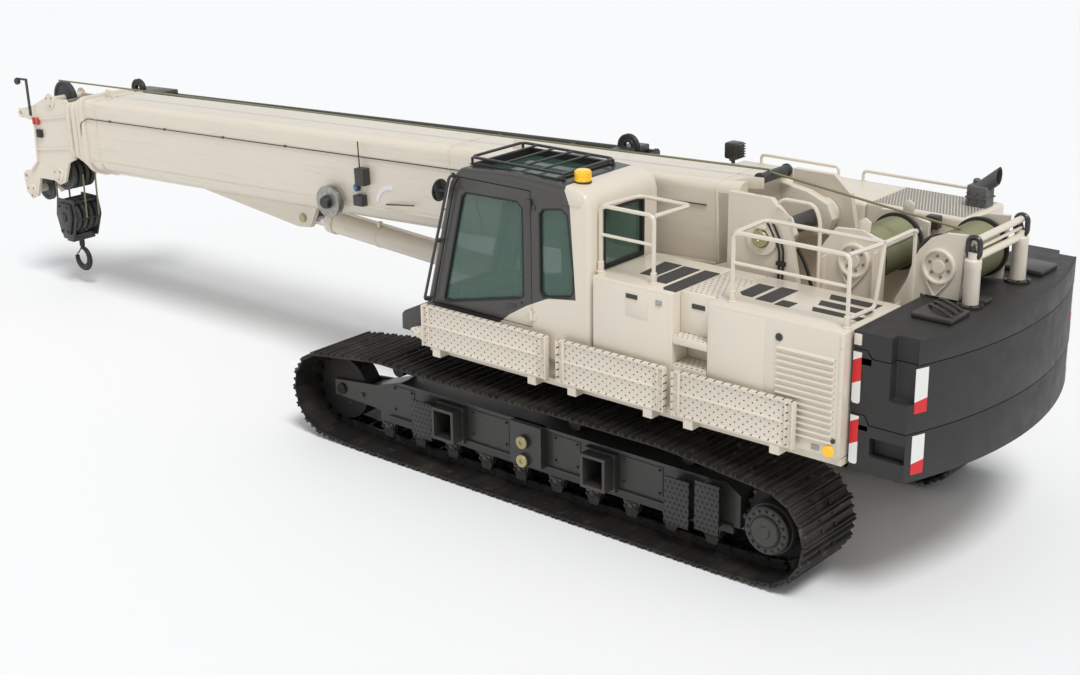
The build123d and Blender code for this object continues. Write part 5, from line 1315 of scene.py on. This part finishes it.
def boom_outline(inset):
    """The box section's outline drawn in by an inset, with each corner rounded."""
    half = [(0.33 - inset, 0.345 - inset, 0.085), (0.33 - inset, -0.31 + inset * 0.3, 0.045),
        (0.257 - inset * 0.85, -0.415 + inset * 0.85, 0.045), (0.139 - inset * 0.4, -0.475 + inset, 0.045)]
    corners = half + [(-y, h, reach) for y, h, reach in reversed(half)]
    points = []
    for number, (y, h, reach) in enumerate(corners):
        here = Vector((y, h))
        before = Vector(corners[number - 1][:2]) - here
        after = Vector(corners[(number + 1) % len(corners)][:2]) - here
        reach = min(reach, before.length * 0.4, after.length * 0.4)
        before, after = before.normalized() * reach, after.normalized() * reach
        for step in range(6):
            place = here + before * (1 - step / 5) ** 2 + after * (step / 5) ** 2
            points.append((place.x, place.y))
    return points


def boom_shell(name, node, body, start, end, inset, collars):
    """A hollow box section with its welded collars."""
    outer = plate(name, boom_outline(inset), start, end, "x")
    cut_by(outer, plate("hollow", boom_outline(inset + 0.02), start + 0.02, end + 0.05, "x"))
    pieces = [outer]
    for at, width, proud in collars:
        ring = plate("collar", boom_outline(inset - proud), at, at + width, "x")
        cut_by(ring, plate("hollow", boom_outline(inset + 0.003), at - 0.05, at + width + 0.05, "x"))
        pieces.append(bevelled(ring, 0.004, 2, 50))
    shell_piece = moved(joined(name, pieces), boom_turn)
    finish(shell_piece, boom_paint, body, 25)
    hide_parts(node)


boom_paint, shader, spot = surface("boom_cream_paint", 0.28, 0.0, 0.35)
cloud = ramp(grain(spot, 0.7, 4), 0.35, 0.75)
streak = ramp(grain(spot.node("ShaderNodeMapping", None, {"Vector": spot, "Scale": (0.5, 1, 7)}), 5.0, 5),
    0.55, 0.75)
base = blended(cloud * 0.3, tint(227, 217, 201), tint(215, 205, 187))
blended(streak * 0.22, base, tint(188, 178, 158)).feed(shader, "Base Color")
(0.28 + streak * 0.15 + grain(spot, 22, 3) * 0.05).feed(shader, "Roughness")
bumped(shader, grain(spot, 190, 2), 0.0004, 0.25)
boom_shell("boom_box", "boom_base", "boom", 0.3, 8.62, 0.0, ((8.55, 0.07, 0.024), (8.36, 0.025, 0.01),
    (3.3, 0.02, 0.006), (0.5, 0.02, 0.006)))
boom_shell("second_section", "boom_section_2", "section_2", 0.56, 8.75, 0.036, ((8.68, 0.07, 0.016),))
boom_shell("third_section", "boom_section_3", "section_3", 0.82, 8.88, 0.072, ((8.81, 0.07, 0.016),))
dress(boom_paint, "boom_tip")

# Boom foot: thick cream plates welded to the box, with bored ears for the pin that carries the boom.
# A dark turned roller between them leads the rope, and a weld strip runs along each side of the box.
foot = []
for sign in (1, -1):
    side_plate = plate("foot_plate", [(0.5, 0.285), (0.5, -0.3), (0.1, -0.17), (-0.12, -0.12), (-0.17, 0),
        (-0.12, 0.12), (0.06, 0.2)], sign * 0.24, sign * 0.33)
    foot.append(bevelled(side_plate, 0.008, 2, 30))
    foot.append(lathe("ear", [(0.072, 0.325), (0.13, 0.325), (0.13, 0.412), (0.122, 0.418), (0.072, 0.418)],
        (0, 0, 0), "y", 48, sign=sign))
    foot.append(bevelled(plate("roller_ear", [(0.16, 0.3), (0.16, 0.385), (0.25, 0.385), (0.44, 0.34),
        (0.32, 0.285)], sign * 0.2, sign * 0.22), 0.004))
    foot.append(plate("weld_strip", rect(0.52, -0.318, 8.54, -0.302), sign * 0.326, sign * 0.3335))
foot = moved(joined("boom_foot_plates", foot), boom_turn)
finish(foot, boom_paint, "boom")
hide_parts("boom_base")
roller = [lathe("roller", [(0, -0.196), (0.05, -0.196), (0.05, -0.176), (0.042, -0.168), (0.042, 0.168),
    (0.05, 0.176), (0.05, 0.196), (0, 0.196)], (0.21, 0, 0.365), "y", 32),
    lathe("pin", rect(0, -0.48, 0.069, 0.48), (0, 0, 0), "y", 32)]
finish(moved(joined("rope_roller", roller), boom_turn), satin_black, "boom")

# Fittings on the boom's left side: black boxes, a valve and cable clips screwed to the box, a pressed
# grey cable reel, a blue lens, a white enamel angle scale and welded lift eyes.
side = 0.33
fittings = [
    bevelled(block("junction_box", (4.3, side, -0.1), (4.42, side + 0.09, 0.06)), 0.01),
    tube("aerial", [(4.38, side + 0.05, 0.06), (4.38, side + 0.05, 0.3)], 0.006, 0),
    bevelled(block("valve", (4.36, side, -0.3), (4.48, side + 0.07, -0.2)), 0.008),
    tube("lever", [(4.1, side + 0.02, -0.255), (3.72, side + 0.05, -0.215)], 0.007, 0),
    lathe("lens_case", button(0.035, side, side + 0.03, 0.028, side + 0.034), (4.47, 0, -0.14), "y", 24),
]
for s in (2.2, 3.0, 5.4, 6.3, 7.2, 8.1):
    fittings.append(bevelled(block("cable_clip", (s, side, 0.142), (s + 0.03, side + 0.014, 0.162)), 0.003))
fittings.append(tube("cable", [(0.6, side + 0.008, 0.15), (8.5, side + 0.008, 0.15)], 0.005, 0))
fittings.append(tube("cable", [(8.5, side + 0.008, 0.15), (8.6, side + 0.03, 0.1),
    (8.62, side + 0.02, -0.05)], 0.005, 0.03))
finish(moved(joined("boom_side_fittings", fittings), boom_turn), satin_black, "boom")
REEL = (4.78, 0, -0.29)
reel = [lathe("reel", [(0.05, side + 0.04), (0.148, side + 0.04), (0.148, side + 0.046),
    (0.12, side + 0.05), (0.12, side + 0.096), (0.148, side + 0.102), (0.148, side + 0.108),
    (0.06, side + 0.108), (0.05, side + 0.104)], REEL, "y", 48)]
reel = moved(joined("cable_reel_discs", reel), boom_turn)
finish(reel, grey_parts, "boom")
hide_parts("cable_reel")
hub = lathe("cable_reel_hub", button(0.06, side, side + 0.14, 0.052, side + 0.158), REEL, "y", 32)
finish(moved(hub, boom_turn), satin_black, "boom")
blue_lens = mottled("blue_lens", tint(60, 110, 190), tint(90, 140, 210), (60, 2), None, 0.12, 0.0, 0.5)
lens_cap = lathe("lens_cap", [(0, side + 0.034), (0.026, side + 0.034), (0.02, side + 0.044),
    (0, side + 0.048)], (4.47, 0, -0.14), "y", 24)
finish(moved(lens_cap, boom_turn), blue_lens, "boom")
turns = [radians(turn) for turn in range(10, 101, 10)]
scale_points = [(4.05 + 0.2 * cos(turn), -0.28 + 0.2 * sin(turn)) for turn in turns]
scale_inner = [(4.05 + 0.16 * cos(turn), -0.28 + 0.16 * sin(turn)) for turn in turns[::-1]]
white_scale = mottled("white_enamel_scale", tint(238, 238, 236), tint(220, 218, 212), (8, 4), None, 0.3,
    amount=0.5)
finish(moved(plate("angle_scale", scale_points + scale_inner, side, side + 0.005), boom_turn), white_scale,
    "boom")
eyes = []
for s in (8.3, 2.6):
    eye = bevelled(plate("eye", [(s, -0.02), (s + 0.16, -0.02), (s + 0.13, 0.07), (s + 0.03, 0.07)], 0.1,
        0.12), 0.006)
    eyes.append(moved(eye, Matrix.Translation((0, 0, 0.36))))
finish(moved(joined("lift_eyes", eyes), boom_turn), boom_paint, "boom")

# Lift cylinder and its bracket: a cream barrel with a turned gland, a chrome rod and a thin oil pipe
# along the top; the bracket under the boom is two welded plates with a stiffener.
dress(boom_paint, "boom_bracket", "lift_barrel")
chrome, shader, spot = surface("hard_chrome_rod", 0.14, 1.0)
blended(ramp(grain(spot, 6, 5), 0.4, 0.7) * 0.5, tint(205, 207, 210), tint(170, 170, 168)).feed(shader,
    "Base Color")
(0.12 + grain(spot, 40, 3) * 0.1).feed(shader, "Roughness")
dress(chrome, "lift_rod")
ROD_PIN = (3.9, 0, 1.446)
run = Vector((3.65, 0, 0.196))
cylinder_turn = Matrix.Translation((0.25, 0, 1.25)) @ Matrix.Rotation(-atan2(run.z, run.x), 4, "Y")
barrel_end = run.length - 0.26
gland = [lathe("gland", [(0.074, barrel_end - 0.1), (0.112, barrel_end - 0.1), (0.116, barrel_end - 0.094),
    (0.116, barrel_end - 0.012), (0.11, barrel_end), (0.08, barrel_end + 0.004), (0.074, barrel_end)],
    (0, 0, 0), "x", 48), lathe("rear_cap", [(0.1, 0.115), (0.112, 0.12), (0.112, 0.17), (0.106, 0.176),
    (0.1, 0.176)], (0, 0, 0), "x", 48)]
gland += [tube("pipe", [(0.22, 0.03, 0.1), (0.22, 0.03, 0.135), (barrel_end - 0.16, 0.03, 0.135),
    (barrel_end - 0.16, 0.03, 0.1)], 0.01, 0.03)]
for s in (0.9, 1.8, 2.7):
    gland.append(lathe("strap", rect(0.104, s, 0.108, s + 0.03), (0, 0, 0), "x", 40))
    gland.append(bevelled(block("clamp", (s - 0.005, 0.01, 0.1), (s + 0.035, 0.052, 0.15)), 0.005))
finish(moved(joined("cylinder_gland", gland), cylinder_turn), boom_paint, "cylinder")
rod_eye = lathe("rod_eye", [(0.046, -0.0705), (0.094, -0.0705), (0.097, -0.064), (0.097, 0.064),
    (0.094, 0.0705), (0.046, 0.0705)], ROD_PIN, "y", 40)
finish(rod_eye, boom_paint, "rod")
pin_ends = [lathe("pin", button(0.044, 0.13, 0.146, 0.038, 0.152), ROD_PIN, "y", 32, sign=sign)
    for sign in (1, -1)]
pin_ends += [lathe("pin", rect(0, -0.13, 0.044, 0.13), ROD_PIN, "y", 24)]
finish(joined("rod_pin", pin_ends), zinc_yellow, "boom")

# Boom head: welded cheeks that carry the rope sheaves, with lugs for the jib, a rope guard and a
# grey stop plate. The sheaves are dark nylon with a steel hub and a grooved rim.
dress(boom_paint, "boom_head")
nylon, shader, spot = surface("dark_nylon_sheave", 0.45)
blended(ramp(grain(spot, 14, 5), 0.35, 0.7), tint(56, 56, 58), tint(74, 74, 74)).feed(shader, "Base Color")
(0.42 + grain(spot, 50, 3) * 0.2).feed(shader, "Roughness")


def sheave(radius, y):
    """A sheave lying across the boom: grooved rim, thin web and a hub."""
    rim = radius - 0.001
    half_face = [(0.041, 0.022), (0.07, 0.022), (0.074, 0.016), (0.085, 0.01), (rim - 0.04, 0.01),
        (rim - 0.034, 0.019), (rim - 0.004, 0.021), (rim, 0.017), (rim - 0.016, 0.006)]
    profile = [(r, y - out) for r, out in half_face] + [(rim - 0.019, y)]
    profile += [(r, y + out) for r, out in half_face[::-1]]
    return lathe("sheave", profile, (0, 0, 0), "y", 56)


head_start = 9.01
SHEAVE_YS = (-0.12, -0.04, 0.04, 0.12)
HEAD_AXLES = ((head_start + 0.33, -0.56, 0.085), (head_start + 0.318, 0.255, 0.08),
    (head_start + 0.88, -0.8, 0.07))
sheaves = []
for (s, h, _), radius, places in zip(HEAD_AXLES, (0.19, 0.19, 0.15), (SHEAVE_YS, (0,), (0,))):
    sheaves += [moved(sheave(radius, y), Matrix.Translation((s, 0, h))) for y in places]
sheaves = moved(joined("head_sheave_set", sheaves), boom_turn)
finish(sheaves, nylon, "tip")
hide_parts("head_sheaves")

head_parts = []
for sign in (1, -1):
    for s, h, r in HEAD_AXLES:
        head_parts.append(lathe("boss", [(0.041, 0.204), (r, 0.204), (r, 0.214), (r - 0.006, 0.22),
            (0.041, 0.22)], (s, 0, h), "y", 36, sign=sign))
    for s, h in ((0.895, 0.075), (0.955, -0.64)):
        head_parts.append(lathe("ear", rect(0.026, 0.203, 0.05, 0.213), (head_start + s, 0, h), "y", 28,
            sign=sign))
    head_parts.append(plate("edge", [(head_start + 0.645, 0.18), (head_start + 0.665, 0.0),
        (head_start + 0.695, -0.44), (head_start + 0.835, -0.56), (head_start + 0.815, -0.575),
        (head_start + 0.672, -0.45), (head_start + 0.64, 0.0), (head_start + 0.62, 0.18)], sign * 0.203,
        sign * 0.225))
    head_parts.append(plate("stiffener", [(head_start + 0.03, 0.1), (head_start + 0.62, 0.02),
        (head_start + 0.62, 0.035), (head_start + 0.03, 0.125)], sign * 0.203, sign * 0.218))
    head_parts.append(plate("stiffener", [(head_start + 0.03, -0.25), (head_start + 0.66, -0.32),
        (head_start + 0.66, -0.3), (head_start + 0.03, -0.225)], sign * 0.203, sign * 0.218))
ring = plate("head_collar", boom_outline(0.084), head_start - 0.05, head_start + 0.005, "x")
cut_by(ring, plate("hollow", boom_outline(0.111), head_start - 0.1, head_start + 0.05, "x"))
head_parts.append(bevelled(ring, 0.004, 2, 50))
finish(moved(joined("head_stiffeners", head_parts), boom_turn), boom_paint, "tip")

steel_bits = [lathe("spreader", rect(0, -0.176, 0.022, 0.176), (head_start + s, 0, h), "y", 20) for s,
    h in ((0.1, -0.3), (0.6, -0.36), (0.46, 0.22), (0.12, 0.25), (0.76, -0.62))]
for sign in (1, -1):
    for s, h, _ in HEAD_AXLES:
        steel_bits.append(lathe("nut", rect(0, 0.218, 0.038, 0.224), (s, 0, h), "y", 24, sign=sign))
        steel_bits += bolt_ring(sign * 0.008, 0.01, (s, sign * 0.218, h), 0.058, 3, "y", 0.4)
finish(moved(joined("head_pins", steel_bits), boom_turn), steel_bolts, "tip")
stop = bevelled(plate("stop_plate", [(8.74, -0.6), (9.12, -0.6), (9.14, -0.44), (8.95, -0.41),
    (8.74, -0.41)], -0.262, -0.248), 0.006)
clips = [bevelled(block("clip", (head_start + 0.56 + n * 0.07, 0.215, -0.03),
    (head_start + 0.6 + n * 0.07, 0.232, 0.05)), 0.004) for n in range(2)]
red_paint = mottled("red_enamel", tint(196, 36, 28), tint(160, 26, 22), (20, 5), (150, 2, 0.0004, 0.3),
    0.35, 0.0, 0.3, (0.4, 0.7), 0.5)
finish(moved(joined("red_clips", clips), boom_turn), red_paint, "tip")
finish(moved(stop, boom_turn), grey_parts, "tip")
pad = [bevelled(block("pad", (head_start + 0.52, 0.212, -0.17), (head_start + 0.62, 0.236, -0.08)), 0.008)]
finish(moved(joined("black_pad", pad), boom_turn), rubber, "tip")

mast = head_start + 0.695
sensor = [bevelled(plate("mast", [(mast, 0.06), (mast + 0.04, 0.06), (mast + 0.04, 0.446),
    (mast + 0.2, 0.446), (mast + 0.2, 0.47), (mast, 0.47)], 0.205, 0.217), 0.003),
    lathe("cup_body", [(0, 0.186), (0.02, 0.186), (0.036, 0.196), (0.038, 0.206), (0.038, 0.226),
    (0.03, 0.236), (0, 0.237)], (mast + 0.185, 0, 0.43), "y", 28)]
for h in (0.09, 0.15):
    sensor.append(hexagon_bolt(0.008, 0.01, (mast + 0.02, 0.216, h)))
finish(moved(joined("wind_sensor", sensor), boom_turn), satin_black, "tip")

# Hook block: two steel cheeks round four sheaves, with side weights, guard bars and a forged swivel
# hook that has a sprung latch. The hoist rope runs in four falls of wire.
dress(rope_olive, "hoist_falls")
BX = (boom_turn @ Vector((head_start + 0.33, 0, -0.56))).x
AXLE_Z = 0.82
block_parts = []
cheek = [(BX - 0.15, 1.02), (BX + 0.15, 1.02), (BX + 0.19, 0.82), (BX + 0.09, 0.56), (BX - 0.09, 0.56),
    (BX - 0.19, 0.82)]
for sign in (1, -1):
    block_parts.append(bevelled(plate("cheek", cheek, sign * 0.15, sign * 0.17), 0.012, 3, 20))
    block_parts.append(bevelled(plate("weight", [(BX - 0.11, 0.98), (BX + 0.11, 0.98), (BX + 0.14, 0.84),
        (BX + 0.07, 0.62), (BX - 0.07, 0.62), (BX - 0.14, 0.84)], sign * 0.168, sign * 0.205), 0.014, 3,
        20))
    block_parts.append(lathe("pin_end", button(0.055, 0.2, 0.216, 0.045, 0.222), (BX, 0, AXLE_Z), "y", 32,
        sign=sign))
    for x, z in ((BX - 0.07, 0.94), (BX + 0.07, 0.94), (BX - 0.05, 0.66), (BX + 0.05, 0.66)):
        block_parts.append(hexagon_bolt(sign * 0.012, 0.014, (x, sign * 0.204, z)))
for x, z in ((BX - 0.12, 0.985), (BX + 0.12, 0.985), (BX - 0.165, 0.8), (BX + 0.165, 0.8)):
    block_parts.append(lathe("guard", rect(0, -0.15, 0.012, 0.15), (x, 0, z), "y", 16))
block_parts.append(bevelled(block("trunnion", (BX - 0.06, -0.152, 0.53), (BX + 0.06, 0.152, 0.61)), 0.012))
block_parts = joined("block_cheeks", block_parts)
finish(block_parts, satin_black, "block")
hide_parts("hook_block")
block_sheaves = [moved(sheave(0.187, y), Matrix.Translation((BX, 0, AXLE_Z))) for y in SHEAVE_YS]
finish(joined("block_sheaves", block_sheaves), nylon, "block")

forged = worn_steel("forged_hook_steel", tint(58, 56, 54), tint(120, 116, 110), tint(84, 70, 54), 0.45, 0.6)
HOOK_SIDES, BOWL_RADIUS = 16, 0.114
centre = Vector((BX, 0, 0.31))
spine = [Vector((BX, 0, 0.6)), Vector((BX, 0, 0.5)), Vector((BX, 0, 0.462))]
for turn in range(95, 366, 15):
    spine.append(centre + Vector((BOWL_RADIUS * cos(radians(turn)), 0, BOWL_RADIUS * sin(radians(turn)))))
hook_profile = []
for number, point in enumerate(spine):
    place = number / (len(spine) - 1)
    thick = 0.032 if number < 3 else 0.036 * (1 - abs(place - 0.6) * 0.9) + 0.002
    ahead_point = spine[min(number + 1, len(spine) - 1)]
    behind_point = spine[max(number - 1, 0)]
    run_way = (ahead_point - behind_point).normalized()
    out_way = Vector((run_way.z, 0, -run_way.x))
    turns = [2 * pi * n / HOOK_SIDES for n in range(HOOK_SIDES)]
    hook_profile.append([point + out_way * thick * 1.05 * cos(turn)
        + Vector((0, 1, 0)) * thick * 0.9 * sin(turn) for turn in turns])
rest()
bpy.ops.mesh.primitive_cylinder_add(vertices=HOOK_SIDES, radius=0.03, depth=0.1, end_fill_type="NOTHING")
hook_piece = bpy.context.object
hook_piece.name = hook_piece.data.name = "forged_hook"
for vertex in hook_piece.data.vertices:
    vertex.co = hook_profile[vertex.index % 2][vertex.index // 2]
for row in range(2, len(spine)):
    bpy.ops.object.mode_set(mode="OBJECT")
    for vertex in hook_piece.data.vertices:
        vertex.select = min((vertex.co - point).length for point in hook_profile[row - 1]) < MERGE_DISTANCE
    bpy.ops.object.mode_set(mode="EDIT")
    bpy.ops.mesh.extrude_region_move(TRANSFORM_OT_translate={"value": (0, 0, 0)})
    bpy.ops.object.mode_set(mode="OBJECT")
    for vertex in hook_piece.data.vertices:
        if vertex.select:
            number = min(range(HOOK_SIDES), key=lambda n: (vertex.co - hook_profile[row - 1][n]).length)
            vertex.co = hook_profile[row][number]
bpy.ops.object.mode_set(mode="EDIT")
bpy.ops.mesh.select_all(action="DESELECT")
bpy.ops.mesh.select_non_manifold()
bpy.ops.mesh.fill_holes(sides=20)
faced_out()
nut = lathe("hook_nut", [(0.033, 0.612), (0.055, 0.612), (0.055, 0.65), (0.045, 0.66), (0.033, 0.66)],
    (BX, 0, 0), "z", 6)
latch = tube("latch", [(BX + 0.01, 0, 0.445), (BX + 0.075, 0, 0.36), (BX + 0.116, 0, 0.335)], 0.007, 0.02)
hook_piece = joined("forged_hook", [hook_piece, nut, latch])
finish(hook_piece, forged, "load_hook", 60)
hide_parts("hook")

# Jib: a black lattice of tube, stowed on cradles along the boom's right side, with its own foot
# plates, a sheave at its tip and a deflector sheave on top.
dress(satin_black, "jib")
jib_parts = []
for s in (1.9, 8.9):
    for corner_y in (-0.78, -0.4):
        for corner_h in (-0.2, 0.22):
            jib_parts.append(lathe("chord_end", rect(0, s - 0.012, 0.04, s + 0.012),
                (0, corner_y, corner_h), "x", 24))
for s, rear, front in ((8.8, 8.35, 8.86), (2.05, 1.96, 2.14)):
    jib_parts.append(bevelled(block("carrier", (rear, -0.77, 0.235), (front, -0.41, 0.3)), 0.01))
    jib_parts.append(moved(sheave(0.11, -0.59), Matrix.Translation((s, 0, 0.3))))
for s in (2.775, 4.4, 6.0, 7.6):
    jib_parts.append(bevelled(plate("cradle", rect(s - 0.05, 0.2, s + 0.05, 0.3), -0.42, -0.325), 0.006))
finish(moved(joined("jib_fittings", jib_parts), boom_turn), satin_black, "boom")

# Hoist rope: from the rear drum over the roller at the boom's foot, along the boom's top and over
# the head sheave. It is taut, so it is drawn straight between the points that carry it.
ROPE_RADIUS = 0.009
rope_line = tube("hoist_rope_run", [(0.21, 0.06, 0.415), (head_start + 0.318, 0.06, 0.455)], ROPE_RADIUS, 0,
    12)
finish(moved(rope_line, boom_turn), rope_olive, "boom")
drum_rope = moved(lathe("drum_rope_run", rect(0, 0, ROPE_RADIUS, 1.605), (0, 0, 0), "x", 12),
    Matrix.Translation((-2.935, 0.06, 2.494)) @ Matrix.Rotation(radians(-6.2), 4, "Y"))
finish(drum_rope, rope_olive, None)
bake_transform(drum_rope)
size = {"cad": cad_box, "visual": [list(corner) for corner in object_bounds()]}
